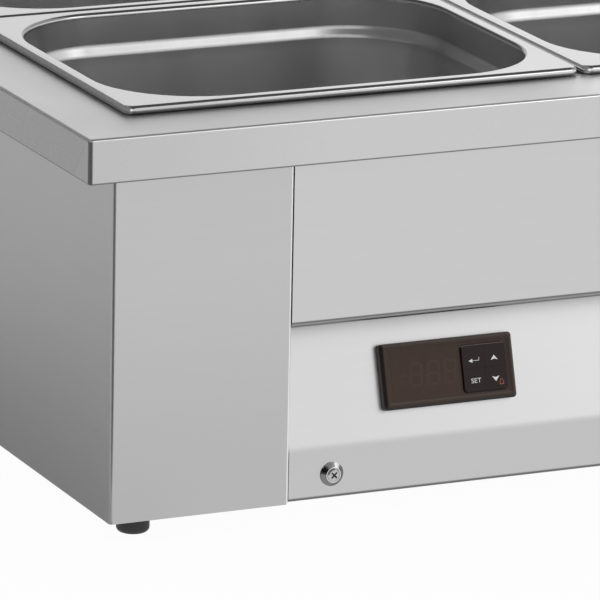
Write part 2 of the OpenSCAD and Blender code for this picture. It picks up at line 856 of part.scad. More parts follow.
module controller_board() {
    color(green) at_controller() {
        translate([0, 0, board_front - board_t]) linear_extrude(board_t)
            square([case_w - 2 * case_wall, case_h - 2 * case_wall], center = true);
        for (x = [-1, 1], y = [-1, 1])
            translate([keys_x + x * (key_w + key_gap) / 2, y * (key_h + key_gap) / 2, board_front])
                cylinder(h = switch_h, d = switch_d);
    }
}
module controller_case() {
    color(black) at_controller() difference() {
        translate([0, 0, -case_depth]) linear_extrude(case_depth + gasket_t)
            square([case_w, case_h], center = true);
        translate([0, 0, -case_depth + case_wall]) linear_extrude(case_depth + bezel_t)
            square([case_w - 2 * case_wall, case_h - 2 * case_wall], center = true);
    }
}
module controller_clips() {
    color(black) at_controller() for (x = [-case_w / 2 - clip_size[0], case_w / 2])
        translate([x, -clip_size[1] / 2, -sheet - clip_size[2]]) cube(clip_size);
}
// One key of the block: a cap, a skirt that holds it behind the bezel and a stem over its switch
module key(column, row) {
    skirt_top = skin_back - skirt_clear;
    stem_low = board_front + switch_h + key_travel + 0.2;
    cap_h = bezel_front + key_proud - skirt_top + skirt_t;
    color(black) at_controller()
    translate([keys_x + column * (key_w + key_gap) / 2, row * (key_h + key_gap) / 2, 0]) {
        translate([0, 0, skirt_top - skirt_t]) linear_extrude(cap_h) difference() {
            square([key_w, key_h], center = true);
            translate([column * (key_w / 2 - key_r), row * (key_h / 2 - key_r)]) difference() {
                translate([column * key_r, row * key_r]) square(2 * key_r, center = true);
                circle(key_r);
            }
        }
        translate([column * (key_w + skirt) / 2, 0, skirt_top - skirt_t / 2])
            cube([skirt, key_h - 2 * key_r, skirt_t], center = true);
        translate([0, 0, stem_low]) cylinder(h = skirt_top - skirt_t - stem_low, d = stem_d);
    }
}
module key_enter() {
    key(-1, 1);
}
module key_up() {
    key(1, 1);
}
module key_set() {
    key(-1, -1);
}
module key_down() {
    key(1, -1);
}

// Electrical parts on the base plate
module contactor() {
    color(white_plastic) translate([contactor_at[0], contactor_at[1], base_top]) difference() {
        translate([-contactor_size[0] / 2, -contactor_size[1] / 2, 0]) cube(contactor_size);
        for (x = [-15, 0, 15], y = [-1, 1])
            translate([x, y * (contactor_size[1] / 2 - 8), contactor_size[2] - 4]) cylinder(h = 5, d = 8);
    }
}
module terminal_block() {
    color(white_plastic) translate([terminal_at[0], terminal_at[1], base_top]) difference() {
        translate([-terminal_size[0] / 2, -terminal_size[1] / 2, 0]) cube(terminal_size);
        for (x = [-20, 0, 20]) translate([x, 0, terminal_size[2] - 5]) cylinder(h = 6, d = 8);
    }
}
module wiring_loom() {
    z = base_top + loom_d / 2;
    a = [contactor_at[0] + contactor_size[0] / 2, contactor_at[1], z];
    b = [terminal_at[0], contactor_at[1], z];
    c = [terminal_at[0], terminal_at[1] - terminal_size[1] / 2, z];
    color(black) {
        link(a, b, loom_d);
        translate(b) sphere(d = loom_d);
        link(b, c, loom_d);
    }
}
module gland_place() {
    translate([gland_x, back_face, gland_z]) facing_back() children();
}
module cable_gland() {
    color(black) gland_place() difference() {
        union() {
            translate([0, 0, -gland_in]) cylinder(h = gland_in, d = gland_thread_d);
            cylinder(h = gland_hex_h, d = gland_thread_d + 6, $fn = 6);
            cylinder(h = gland_out - gland_taper, d = gland_thread_d + 3);
            translate([0, 0, gland_out - gland_taper])
                cylinder(h = gland_taper, d1 = gland_thread_d + 3, d2 = gland_thread_d - 1);
        }
        translate([0, 0, -2 * gland_in]) cylinder(h = 2 * gland_in + gland_out + 1, d = gland_bore_d);
    }
}
module gland_nut() {
    color(black) gland_place() translate([0, 0, -sheet - gland_nut_t]) difference() {
        cylinder(h = gland_nut_t, d = gland_thread_d + 6, $fn = 6);
        translate([0, 0, -1]) cylinder(h = gland_nut_t + 2, d = gland_thread_d + 0.1);
    }
}
module stud_place() {
    translate([-stud_x, back_face, gland_z]) facing_back() children();
}
module bonding_stud() {
    color(brass) stud_place() {
        translate([0, 0, -sheet - 3]) cylinder(h = 3, d = stud_root_d + 6);
        translate([0, 0, -sheet - 1]) cylinder(h = sheet + 1 + stud_nut_t, d = stud_root_d);
        cylinder(h = stud_length, d = stud_d);
    }
}
module bonding_nut() {
    color(brass) stud_place() difference() {
        cylinder(h = stud_nut_t, d = stud_root_d * 1.8, $fn = 6);
        translate([0, 0, -1]) cylinder(h = stud_nut_t + 2, d = stud_root_d + 0.1);
    }
}

// Drain
module drain_strainer() {
    color(bright_steel) translate([0, drain_y, 0]) difference() {
        union() {
            translate([0, 0, well_floor]) cylinder(h = 2, d = strainer_d);
            translate([0, 0, tail_bottom]) cylinder(h = well_floor - tail_bottom, d = tail_d);
        }
        translate([0, 0, tail_bottom - 1]) cylinder(h = well_floor - tail_bottom + 1, d = drain_bore_d);
        for (a = [0 : 60 : 300]) rotate(a) translate([4.2, 0, well_floor - 1]) cylinder(h = 4, d = 2.6);
    }
}
module drain_gasket() {
    color(black) translate([0, drain_y, well_under - gasket_h]) difference() {
        cylinder(h = gasket_h, d = strainer_d - 6);
        translate([0, 0, -1]) cylinder(h = gasket_h + 2, d = floor_hole_d);
    }
}
module drain_locknut() {
    color(brass) translate([0, drain_y, well_under - gasket_h - locknut_h]) difference() {
        cylinder(h = locknut_h, d = tail_d + 12, $fn = 6);
        translate([0, 0, -1]) cylinder(h = locknut_h + 2, d = tail_d + 0.2);
    }
}
module drain_pipe() {
    socket_d = tail_d + 2 * socket_wall;
    rise = tail_bottom - drain_z;
    color(brass) translate([0, drain_y, drain_z]) difference() {
        union() {
            sphere(d = socket_d);
            cylinder(h = rise + socket_h, d = socket_d);
            facing_back() cylinder(h = valve_start - drain_y, d = drain_pipe_d);
        }
        translate([0, 0, rise]) cylinder(h = 2 * socket_h, d = tail_d + 2 * fit);
        cylinder(h = rise + socket_h, d = drain_bore_d);
        sphere(d = drain_bore_d);
        facing_back() cylinder(h = valve_start, d = drain_bore_d);
    }
}
module drain_grommet() {
    color(black) translate([0, back_face, drain_z]) facing_back() rotate_extrude() {
        translate([drain_pipe_d / 2 + fit, -sheet - grommet_lip]) square([grommet_lip_w, grommet_lip]);
        translate([drain_pipe_d / 2 + fit, -sheet]) square([grommet_t, sheet]);
        translate([drain_pipe_d / 2 + fit, 0]) square([grommet_lip_w, grommet_lip]);
    }
}
module valve_frame() {
    translate([0, valve_mid, drain_z]) children();
}
module valve_body() {
    half = valve_length / 2;
    color(brass) valve_frame() difference() {
        union() {
            translate([0, -half, 0]) facing_back() cylinder(h = valve_length, r = valve_hex_r, $fn = 6);
            translate([0, half, 0]) facing_back() cylinder(h = outlet_length, d = outlet_d);
            cylinder(h = bonnet_top, r = bonnet_r);
        }
        translate([0, -half - 1, 0]) facing_back()
            cylinder(h = valve_length + outlet_length + 2, d = drain_bore_d - 1);
        sphere(r = ball_r + ball_clear);
        cylinder(h = bonnet_top + 1, r = stem_r + ball_clear);
    }
}
module valve_ball() {
    color(bright_steel) valve_frame() difference() {
        union() {
            sphere(r = ball_r);
            cylinder(h = lever_z + lever_t + valve_nut_h + 1, r = stem_r);
        }
        translate([-ball_r - 1, 0, 0]) rotate([0, 90, 0]) cylinder(h = 2 * ball_r + 2, d = drain_bore_d - 1);
    }
}
module valve_lever() {
    color(bright_steel) valve_frame() translate([0, 0, lever_z]) linear_extrude(lever_t) difference() {
        union() {
            circle(d = lever_w + 4);
            translate([0, -lever_w / 2]) square([lever_length - lever_w / 2, lever_w]);
            translate([lever_length - lever_w / 2, 0]) circle(d = lever_w);
        }
        circle(r = stem_r);
    }
}
module valve_grip() {
    outer_w = lever_w + 2 * grip_wall;
    tip = lever_length - lever_w / 2;
    color(red) valve_frame() difference() {
        translate([0, 0, lever_z - grip_wall]) linear_extrude(lever_t + 2 * grip_wall) {
            translate([tip - grip_length, -outer_w / 2]) square([grip_length, outer_w]);
            translate([tip, 0]) circle(d = outer_w);
        }
        translate([0, 0, lever_z]) linear_extrude(lever_t) {
            translate([0, -lever_w / 2]) square([tip, lever_w]);
            translate([tip, 0]) circle(d = lever_w);
        }
    }
}
module valve_nut() {
    color(bright_steel) valve_frame() translate([0, 0, lever_z + lever_t]) difference() {
        cylinder(h = valve_nut_h, r = stem_r * 1.9, $fn = 6);
        translate([0, 0, -1]) cylinder(h = valve_nut_h + 2, r = stem_r);
    }
}

countertop();
left_side_panel();
right_side_panel();
upper_front_panel();
control_panel();
back_panel();
base_plate();
well();
divider_bar();
cross_bars();
pan_front_left();
pan_front_right();
pan_rear_left();
pan_rear_right();
insulation();
left_element();
right_element();
element_fittings();
element_seals();
element_clips();
temperature_probe();
probe_clip();
safety_thermostat();
feet();
foot_screws();
panel_screws();
cup_washers();
back_screws();
controller_gasket();
controller_bezel();
controller_window();
controller_display();
controller_board();
controller_case();
controller_clips();
key_enter();
key_up();
key_set();
key_down();
contactor();
terminal_block();
wiring_loom();
cable_gland();
gland_nut();
bonding_stud();
bonding_nut();
drain_strainer();
drain_gasket();
drain_locknut();
drain_pipe();
drain_grommet();
valve_body();
valve_ball();
valve_lever();
valve_grip();
valve_nut();
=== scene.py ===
import json
import math

import bmesh
import bpy
from mathutils import Matrix, Vector

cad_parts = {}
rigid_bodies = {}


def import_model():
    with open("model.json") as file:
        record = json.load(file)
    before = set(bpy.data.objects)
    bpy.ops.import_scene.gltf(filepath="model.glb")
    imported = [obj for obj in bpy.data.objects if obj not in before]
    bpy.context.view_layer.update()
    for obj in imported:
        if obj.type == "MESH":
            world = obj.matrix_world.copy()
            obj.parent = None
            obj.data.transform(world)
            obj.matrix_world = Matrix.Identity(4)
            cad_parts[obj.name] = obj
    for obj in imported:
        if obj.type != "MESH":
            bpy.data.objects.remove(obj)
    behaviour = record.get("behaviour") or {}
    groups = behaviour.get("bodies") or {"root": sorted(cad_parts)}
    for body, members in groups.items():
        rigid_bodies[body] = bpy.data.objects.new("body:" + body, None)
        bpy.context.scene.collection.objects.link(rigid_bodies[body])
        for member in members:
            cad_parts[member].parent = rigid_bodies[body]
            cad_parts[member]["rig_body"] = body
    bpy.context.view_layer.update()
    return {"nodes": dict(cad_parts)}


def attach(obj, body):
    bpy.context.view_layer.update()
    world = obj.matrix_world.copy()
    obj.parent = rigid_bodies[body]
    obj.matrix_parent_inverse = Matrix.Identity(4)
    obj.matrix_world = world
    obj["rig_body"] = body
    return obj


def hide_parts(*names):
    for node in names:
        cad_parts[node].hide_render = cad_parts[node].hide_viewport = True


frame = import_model()
mm = 0.001
print("frame loaded:", len(frame["nodes"]), "nodes")


# Shader maths: a socket that takes part in Python sums
class Socket:
    def __init__(self, tree, link):
        self.tree = tree
        self.link = link

    def __add__(self, other):
        return self.tree.maths("ADD", self, other)

    def __radd__(self, other):
        return self.tree.maths("ADD", other, self)

    def __sub__(self, other):
        return self.tree.maths("SUBTRACT", self, other)

    def __rsub__(self, other):
        return self.tree.maths("SUBTRACT", other, self)

    def __mul__(self, other):
        return self.tree.maths("MULTIPLY", self, other)

    def __rmul__(self, other):
        return self.tree.maths("MULTIPLY", other, self)

    def __truediv__(self, other):
        return self.tree.maths("DIVIDE", self, other)

    def __gt__(self, other):
        return self.tree.maths("GREATER_THAN", self, other)

    def __lt__(self, other):
        return self.tree.maths("LESS_THAN", self, other)

    def __abs__(self):
        return self.tree.maths("ABSOLUTE", self, 0.0)


class NodeTree:
    def __init__(self, tree):
        self.tree = tree
        tree.nodes.clear()

    def node(self, kind, settings=None, values=None, output=0):
        made = self.tree.nodes.new(kind)
        for name, value in (settings or {}).items():
            setattr(made, name, value)
        for name, value in (values or {}).items():
            if isinstance(value, Socket):
                self.tree.links.new(value.link, made.inputs[name])
            else:
                made.inputs[name].default_value = value
        return Socket(self, made.outputs[output]) if made.outputs else None

    def maths(self, operation, first, second):
        return self.node("ShaderNodeMath", {"operation": operation}, {0: first, 1: second})

    def coords(self):
        return self.node("ShaderNodeTexCoord", output="Object")

    def split(self, vector, axis):
        return self.node("ShaderNodeSeparateXYZ", {}, {0: vector}, axis)

    # A place along one axis, in millimetres
    def inMm(self, place, axis):
        return self.split(place, axis) / mm

    # How far the surface faces along one axis
    def facing(self, axis):
        return self.split(self.node("ShaderNodeNewGeometry", output="Normal"), axis)

    def noise(self, vector, scale, detail=2.0, rough=0.5):
        if isinstance(scale, tuple):
            vector = self.node("ShaderNodeMapping", {}, {"Vector": vector, "Scale": scale})
            scale = 1.0
        values = {"Vector": vector, "Scale": scale, "Detail": detail, "Roughness": rough}
        return self.node("ShaderNodeTexNoise", {}, values, "Fac")

    # Rises smoothly from 0 at low to 1 at high, and low may be the greater
    def ease(self, value, low, high):
        values = {"Value": value, "From Min": low, "From Max": high, "To Min": 0.0, "To Max": 1.0}
        return self.node("ShaderNodeMapRange", {"interpolation_type": "SMOOTHSTEP"}, values)

    def mixColour(self, factor, first, second):
        return self.node("ShaderNodeMix", {"data_type": "RGBA"}, {0: factor, 6: first, 7: second}, 2)

    def bump(self, height, strength, distance, normal=None):
        values = {"Height": height, "Strength": strength, "Distance": distance}
        if normal:
            values["Normal"] = normal
        return self.node("ShaderNodeBump", {}, values)

    # One for a ray that is seen straight, mirrored or through something clear
    def seen(self):
        kinds = ("Is Camera Ray", "Is Glossy Ray", "Is Transmission Ray")
        straight, mirrored, through = [self.node("ShaderNodeLightPath", output=kind) for kind in kinds]
        return self.maths("MAXIMUM", self.maths("MAXIMUM", straight, mirrored), through)


def grey(value, warm=0.0):
    return (value * (1 + warm), value, value * (1 - warm), 1.0)


def finish(name, values, build):
    material = bpy.data.materials.new(name)
    material.use_nodes = True
    tree = NodeTree(material.node_tree)
    shader = tree.node("ShaderNodeBsdfPrincipled", {}, {**values, **build(tree)})
    tree.node("ShaderNodeOutputMaterial", {}, {"Surface": shader})
    return material


# Brushed steel: noise scales, and how far its tone spreads
steelGrain = {"fine": 1500.0, "coarse": 320.0, "along": 9.0, "wave": 7.0, "smudge": 16.0, "spread": 0.03}
steelValues = {"Metallic": 1.0, "IOR": 2.5}


def steel(name, tone, rough, direction, shade=None):
    def build(tree):
        place = tree.coords()
        run = {"x": (1, 0, 0), "around": (1, 1, 0)}[direction]

        def streaks(across):
            scale = tuple(steelGrain["along"] if r else across for r in run)
            return tree.noise(place, scale, 2.0, 0.6)

        fine = streaks(steelGrain["fine"])
        coarse = streaks(steelGrain["coarse"])
        wave = tree.noise(place, steelGrain["wave"], 2.0)
        smudge = tree.noise(place, steelGrain["smudge"], 4.0, 0.6)
        dark = grey(tone * (1 - steelGrain["spread"]))
        pale = grey(tone * (1 + steelGrain["spread"]))
        tint = tree.mixColour(coarse * 0.55 + smudge * 0.45, dark, pale)
        if shade:
            tint = shade(tree, place, tint)
        normal = tree.bump(wave, 0.05, 0.0012)
        return {
            "Base Color": tint,
            "Roughness": rough + (fine - 0.5) * 0.05 + (smudge - 0.5) * 0.08,
            "Normal": tree.bump(fine * 0.6 + coarse * 0.4, 0.025, 0.00004, normal),
        }

    return finish(name, steelValues, build)


# Where painted light and shade change the sheets' tones: pairs are where a change starts and ends,
# along an axis in millimetres or along the way that the surface faces
sideLightAndShade = {
    "x": (226.5, 225.8), "y": (-302.2, -302.9), "tone": 0.84,
    "lowZ": (200.0, 20.0), "frontward": (-0.6, -0.9), "lowTone": 0.45, "lowShare": 0.6,
}
slopeHighlight = {"x": (-210.0, 60.0), "tone": 0.73, "share": 0.8}
stripShade = {
    "z": (54.0, 48.0), "tone": 0.56, "edgeZ": (18.4, 17.2), "endX": (223.4, 223.8), "edgeTone": 0.16,
}
baseShadow = {"y": (-299.0, -300.0), "z": (18.0, 17.0), "tone": 0.08}
cupShade = {
    "lit": (0.42, 0.60), "litTone": 0.85, "cone": (0.93, 0.85), "coneTone": 0.20,
    "leftward": (-0.15, -0.40), "upward": (0.05, 0.30), "cornerTone": 0.03,
}
recessShade = {"axis": (193.0, 32.0), "reach": 3.2, "y": (-306.15, -305.85), "tone": 0.04}
upperFoldShade = {
    "shaded": (0.05, 0.20), "shadedTone": 0.17,
    "lineStart": (0.28, 0.42), "lineEnd": (0.72, 0.58), "lineTone": 0.30,
}


# Painted highlight on the bend where a side panel turns into the bay, and painted shade on its front, darker
# towards its foot
def shadeBend(tree, place, tint):
    b = sideLightAndShade
    low = tree.ease(tree.inMm(place, 2), *b["lowZ"]) * tree.ease(tree.facing(1), *b["frontward"])
    tint = tree.mixColour(low * b["lowShare"], tint, grey(b["lowTone"]))
    bend = tree.ease(abs(tree.inMm(place, 0)), *b["x"]) * tree.ease(tree.inMm(place, 1), *b["y"])
    return tree.mixColour(bend, tint, grey(b["tone"]))


# Painted highlight brightens the slope to the right; painted shade darkens the strip below it, most at its
# ends and lower edge
def shadeStrip(tree, place, tint):
    s = stripShade
    across = tree.inMm(place, 0)
    height = tree.inMm(place, 2)
    along = tree.ease(across, *slopeHighlight["x"]) * slopeHighlight["share"]
    tint = tree.mixColour(along, tint, grey(slopeHighlight["tone"]))
    below = tree.ease(height, *s["z"])
    tint = tree.mixColour(below, tint, grey(s["tone"]))
    end = tree.ease(abs(across), *s["endX"]) * below
    bottom = tree.ease(height, *s["edgeZ"])
    return tree.mixColour(tree.maths("MAXIMUM", end, bottom), tint, grey(s["edgeTone"]))


# Painted shadow along the base's front edge
def shadeBase(tree, place, tint):
    b = baseShadow
    edge = tree.ease(tree.inMm(place, 1), *b["y"]) * tree.ease(tree.inMm(place, 2), *b["z"])
    return tree.mixColour(edge, tint, grey(b["tone"]))


# Cup washers: painted highlight on the upper side, painted shade on the cones all round and darkest at the
# upper left
def shadeCup(tree, place, tint):
    c = cupShade
    up = tree.facing(2)
    lit = tree.ease(up, *c["lit"])
    tint = tree.mixColour(lit, tint, grey(c["litTone"]))
    cone = tree.ease(abs(tree.facing(1)), *c["cone"])
    tint = tree.mixColour(cone * (1 - lit), tint, grey(c["coneTone"]))
    corner = tree.ease(tree.facing(0), *c["leftward"]) * tree.ease(up, *c["upward"]) * (1 - lit)
    return tree.mixColour(corner, tint, grey(c["cornerTone"]))


# Painted shade in the cross recess of each screw's head
def shadeRecess(tree, place, tint):
    r = recessShade
    across = abs(tree.inMm(place, 0)) - r["axis"][0]
    rise = tree.inMm(place, 2) - r["axis"][1]
    near = across * across + rise * rise < r["reach"] * r["reach"]
    deep = tree.ease(tree.inMm(place, 1), *r["y"])
    return tree.mixColour(near * deep, tint, grey(r["tone"]))


# Painted shade on the fold under the upper panel, with a paler painted line along its middle
def shadeFold(tree, place, tint):
    f = upperFoldShade
    down = -1.0 * tree.facing(2)
    tint = tree.mixColour(tree.ease(down, *f["shaded"]), tint, grey(f["shadedTone"]))
    line = tree.ease(down, *f["lineStart"]) * tree.ease(down, *f["lineEnd"])
    return tree.mixColour(line, tint, grey(f["lineTone"]))


sheetSteel = steel("sheetSteel", 0.60, 0.30, "x")
upperSteel = steel("upperSteel", 0.60, 0.30, "x", shadeFold)
sideSteel = steel("sideSteel", 0.54, 0.30, "around", shadeBend)
slopeSteel = steel("slopeSteel", 0.67, 0.34, "x", shadeStrip)
baseSteel = steel("baseSteel", 0.58, 0.34, "x", shadeBase)
cupSteel = steel("cupSteel", 0.66, 0.20, "x", shadeCup)
screwSteel = steel("screwSteel", 0.50, 0.24, "x", shadeRecess)
wellSteel = steel("wellSteel", 0.55, 0.36, "x")

counterSize = {"width": 745.0, "depth": 632.0, "top": 275.0, "fascia": 30.0}
# The counter's tones, with painted light and shade
counterTone = {
    "fascia": (0.59, 0.61), "endX": (-170.0, -370.0), "endTone": 0.52, "endShare": 0.8,
    "rounded": (0.20, 0.45), "roundedTone": 0.72, "level": (0.6, 0.95), "top": (0.58, 0.72),
    "brightX": (-50.0, 10.0), "brightTone": 0.94, "sideways": 0.7, "side": (0.42, 0.45),
    "downward": (-0.05, -0.35), "underTone": 0.22, "leftward": (-0.15, -0.40), "frontward": (-0.15, -0.40),
    "upward": (0.15, 0.40), "upright": (0.40, 0.15), "bendTone": 0.90, "cornerTone": 0.24,
}
counterWeld = {
    "corner": 2.0, "back": 26.5, "wrap": (0.4, -0.4), "wrapTone": 0.62, "wrapShare": 0.3,
    "line": (0.5, 0.0), "lineTone": 0.30, "lineShare": 0.4, "lineDepth": 6.0,
}


def counterBuild(tree):
    t = counterTone
    w = counterWeld
    g = steelGrain
    place = tree.coords()
    across = tree.inMm(place, 0)
    up = tree.facing(2)
    side = abs(tree.facing(0)) > t["sideways"]
    level = tree.ease(up, *t["level"])

    def between(factor, name):
        return tree.mixColour(factor, *[grey(tone) for tone in t[name]])

    lengthways = tree.noise(place, (g["along"], g["fine"], g["fine"]), 2.0, 0.6)
    crossways = tree.noise(place, (g["along"], g["along"], g["fine"]), 2.0, 0.6)
    fine = lengthways * (1 - side) + crossways * side
    coarse = tree.noise(place, (g["along"], g["coarse"], g["coarse"]), 2.0, 0.6) * (1 - side) + 0.5 * side
    wave = tree.noise(place, g["wave"], 2.0)
    smudge = tree.noise(place, g["smudge"], 4.0, 0.6)
    drift = tree.noise(place, (13.0, 5.0, 5.0), 1.0)
    tint = between(coarse * 0.25 + smudge * 0.75, "fascia")
    # Painted shade: the fascia darkens towards its left end
    tint = tree.mixColour(tree.ease(across, *t["endX"]) * t["endShare"], tint, grey(t["endTone"]))
    # Painted highlight on the rounded edges between the top and the sides
    tint = tree.mixColour(tree.ease(up, *t["rounded"]), tint, grey(t["roundedTone"]))
    # Painted reflection: the top brightens to the right
    top = tree.mixColour(tree.ease(across, *t["brightX"]), between(drift, "top"), grey(t["brightTone"]))
    tint = tree.mixColour(level, tint, top)
    tint = tree.mixColour(side, tint, between(smudge, "side"))
    # Painted shade on faces that turn downward, along the fascia's lower edge
    tint = tree.mixColour(tree.ease(up, *t["downward"]), tint, grey(t["underTone"]))
    # Painted highlight on the rougher bend along the left edge, and painted shade on the rougher upright
    # corner
    leftward = tree.ease(tree.facing(0), *t["leftward"])
    bend = leftward * tree.ease(up, *t["upward"])
    tint = tree.mixColour(bend, tint, grey(t["bendTone"]))
    corner = leftward * tree.ease(tree.facing(1), *t["frontward"]) * tree.ease(up, *t["upright"])
    tint = tree.mixColour(corner, tint, grey(t["cornerTone"]))
    # The ground weld that runs down each end of the fascia from the front corner
    run = tree.inMm(place, 1) + counterSize["depth"] / 2
    drop = counterSize["top"] - tree.inMm(place, 2)
    offset = run - w["corner"] - drop * ((w["back"] - w["corner"]) / counterSize["fascia"])
    wrap = tree.ease(offset, *w["wrap"]) * side
    tint = tree.mixColour(wrap * w["wrapShare"], tint, grey(w["wrapTone"]))
    line = tree.ease(abs(offset), *w["line"]) * side
    tint = tree.mixColour(line * w["lineShare"], tint, grey(w["lineTone"]))
    rough = 0.28 + level * 0.12 + (fine - 0.5) * 0.04 + (smudge - 0.5) * 0.08
    rough = rough + wrap * 0.06 + bend * 0.30 + corner * 0.35
    normal = tree.bump(wave, 0.04, 0.0012)
    grain = tree.bump(fine - line * w["lineDepth"], 0.008, 0.00004, normal)
    return {"Base Color": tint, "Roughness": rough, "Normal": grain}


counterSteel = finish("counterSteel", steelValues, counterBuild)

# The pans' tones, with painted light and shade: depths are below the rim
panTone = {
    "top": 281.0, "rimDepth": (8.0, 7.0), "rimX": (-330.0, -90.0), "rim": (0.525, 0.66),
    "insideDepth": (1.8, 4.8), "insideTone": 0.565,
    "deepDepth": (30.0, 38.0), "deepTone": 0.69, "softTone": 0.60,
    "turnStart": (0.96, 0.90), "turnEnd": (0.40, 0.52), "turnTone": 0.21, "turnShare": 0.9,
    "downward": (-0.04, -0.25), "underTone": 0.24,
    "leftBeads": (-326.5, 1.5), "beadReach": (10.0, 8.0), "leftward": (-0.20, -0.45), "beadTone": 0.92,
}


def panBuild(tree):
    t = panTone
    place = tree.coords()
    across = tree.inMm(place, 0)
    depth = t["top"] - tree.inMm(place, 2)
    up = tree.facing(2)
    atRim = tree.ease(depth, *t["rimDepth"])
    inside = tree.ease(depth, *t["insideDepth"])
    soft = tree.noise(place, 26.0, 3.0, 0.55)
    drawn = tree.noise(place, (150.0, 150.0, 14.0), 3.0, 0.6)
    grit = tree.noise(place, 900.0, 2.0, 0.6)
    # Painted shade: the rim darkens towards the left
    rim = tree.mixColour(tree.ease(across, *t["rimX"]), *[grey(tone) for tone in t["rim"]])
    tint = tree.mixColour(inside, rim, grey(t["insideTone"]))
    # Painted light: the deep inside is paler
    tint = tree.mixColour(tree.ease(depth, *t["deepDepth"]), tint, grey(t["deepTone"]))
    tint = tree.mixColour((soft - 0.4) * 0.5, tint, grey(t["softTone"]))
    # Painted shade on the line where the flat rim starts to turn down, and on the underside of its bead
    turning = tree.ease(up, *t["turnStart"]) * tree.ease(up, *t["turnEnd"]) * atRim
    tint = tree.mixColour(turning * t["turnShare"], tint, grey(t["turnTone"]))
    tint = tree.mixColour(tree.ease(up, *t["downward"]) * atRim, tint, grey(t["underTone"]))
    # Painted light: the left bead is made paler, to an even middle grey
    nearBead = [tree.ease(abs(across - x), *t["beadReach"]) for x in t["leftBeads"]]
    leftward = tree.ease(tree.facing(0), *t["leftward"]) * tree.maths("MAXIMUM", *nearBead) * atRim
    tint = tree.mixColour(leftward, tint, grey(t["beadTone"]))
    rough = 0.17 + inside * 0.15 + (soft - 0.5) * 0.10 + (drawn - 0.5) * 0.08 * inside + (grit - 0.5) * 0.05
    normal = tree.bump(soft + drawn * 0.2 * inside, 0.10, 0.0008)
    return {"Base Color": tint, "Roughness": rough, "Normal": tree.bump(grit, 0.08, 0.00003, normal)}


panSteel = finish("panSteel", steelValues, panBuild)


def metal(name, low, high, rough, scale):
    def build(tree):
        place = tree.coords()
        broad = tree.noise(place, scale, 3.0, 0.6)
        grit = tree.noise(place, scale * 18, 2.0, 0.6)
        return {
            "Base Color": tree.mixColour(broad, low, high),
            "Roughness": rough + (broad - 0.5) * 0.14 + (grit - 0.5) * 0.10,
            "Normal": tree.bump(grit, 0.08, 0.00004),
        }

    return finish(name, {"Metallic": 1.0}, build)


brightSteel = metal("brightSteel", grey(0.60), grey(0.70), 0.18, 60.0)
elementSteel = metal("elementSteel", (0.20, 0.185, 0.175, 1), (0.34, 0.32, 0.30, 1), 0.42, 40.0)
brass = metal("brass", (0.62, 0.45, 0.17, 1), (0.74, 0.57, 0.26, 1), 0.26, 45.0)


# Moulded plastic or rubber, with a broad and a fine noise scale for its grain
def moulded(name, tones, rough, grain, shine=0.5, bump=0.15, shade=None):
    def build(tree):
        place = tree.coords()
        broad = tree.noise(place, grain[0], 3.0, 0.6)
        fine = tree.noise(place, grain[1], 2.0, 0.6)
        tint = tree.mixColour(broad * 0.6 + fine * 0.4, *tones)
        if shade:
            tint = shade(tree, tint)
        return {
            "Base Color": tint,
            "Roughness": rough + (fine - 0.5) * 0.12 + (broad - 0.5) * 0.08,
            "Normal": tree.bump(fine, bump, 0.00005),
        }

    return finish(name, {"Specular IOR Level": shine}, build)


bezelShade = {
    "face": ((0.038, 0.021, 0.014, 1), (0.050, 0.028, 0.020, 1)),
    "upward": (0.50, 0.82), "top": (0.120, 0.104, 0.097, 1),
    "downward": (-0.05, -0.35), "low": (0.014, 0.010, 0.009, 1),
    "leftward": (-0.20, -0.60), "left": (0.016, 0.011, 0.010, 1),
}
keyShade = {
    "face": ((0.011, 0.004, 0.004, 1), (0.017, 0.006, 0.006, 1)),
    "rightward": (0.25, 0.60), "right": (0.055, 0.042, 0.040, 1),
    "upward": (0.48, 0.75), "top": (0.240, 0.205, 0.195, 1),
}


# Painted light on the bezel's slanted border: painted highlight above, painted shade on the left and below
def shadeBezel(tree, tint):
    s = bezelShade
    tint = tree.mixColour(tree.ease(tree.facing(2), *s["upward"]), tint, s["top"])
    tint = tree.mixColour(tree.ease(tree.facing(2), *s["downward"]), tint, s["low"])
    return tree.mixColour(tree.ease(tree.facing(0), *s["leftward"]), tint, s["left"])


# Painted highlight on the rounded edges of the block of keys, above and to the right
def shadeKey(tree, tint):
    s = keyShade
    tint = tree.mixColour(tree.ease(tree.facing(0), *s["rightward"]), tint, s["right"])
    return tree.mixColour(tree.ease(tree.facing(2), *s["upward"]), tint, s["top"])


bezelPlastic = moulded("bezelPlastic", bezelShade["face"], 0.36, (90.0, 2200.0), 0.25, 0.1, shadeBezel)
keyPlastic = moulded("keyPlastic", keyShade["face"], 0.36, (100.0, 2500.0), 0.25, 0.15, shadeKey)
blackPlastic = moulded("blackPlastic", (grey(0.022), grey(0.034)), 0.5, (60.0, 1500.0))
footRubber = moulded("footRubber", (grey(0.020), grey(0.034)), 0.55, (44.0, 1100.0), 0.5, 0.25)
sealRubber = moulded("sealRubber", (grey(0.014), grey(0.022)), 0.6, (56.0, 1400.0), 0.5, 0.25)
palePlastic = moulded("palePlastic", (grey(0.60, 0.02), grey(0.68, 0.03)), 0.48, (36.0, 900.0))
greens = ((0.012, 0.10, 0.045, 1), (0.02, 0.15, 0.07, 1))
boardGreen = moulded("boardGreen", greens, 0.35, (28.0, 700.0))
reds = ((0.42, 0.022, 0.016, 1), (0.50, 0.035, 0.025, 1))
gripRed = moulded("gripRed", reds, 0.38, (48.0, 1200.0))
legendWhite = moulded("legendWhite", (grey(0.72), grey(0.80)), 0.5, (60.0, 1500.0), 0.5, 0.05)
oranges = ((0.30, 0.08, 0.035, 1), (0.36, 0.10, 0.045, 1))
legendOrange = moulded("legendOrange", oranges, 0.5, (60.0, 1500.0), 0.5, 0.05)
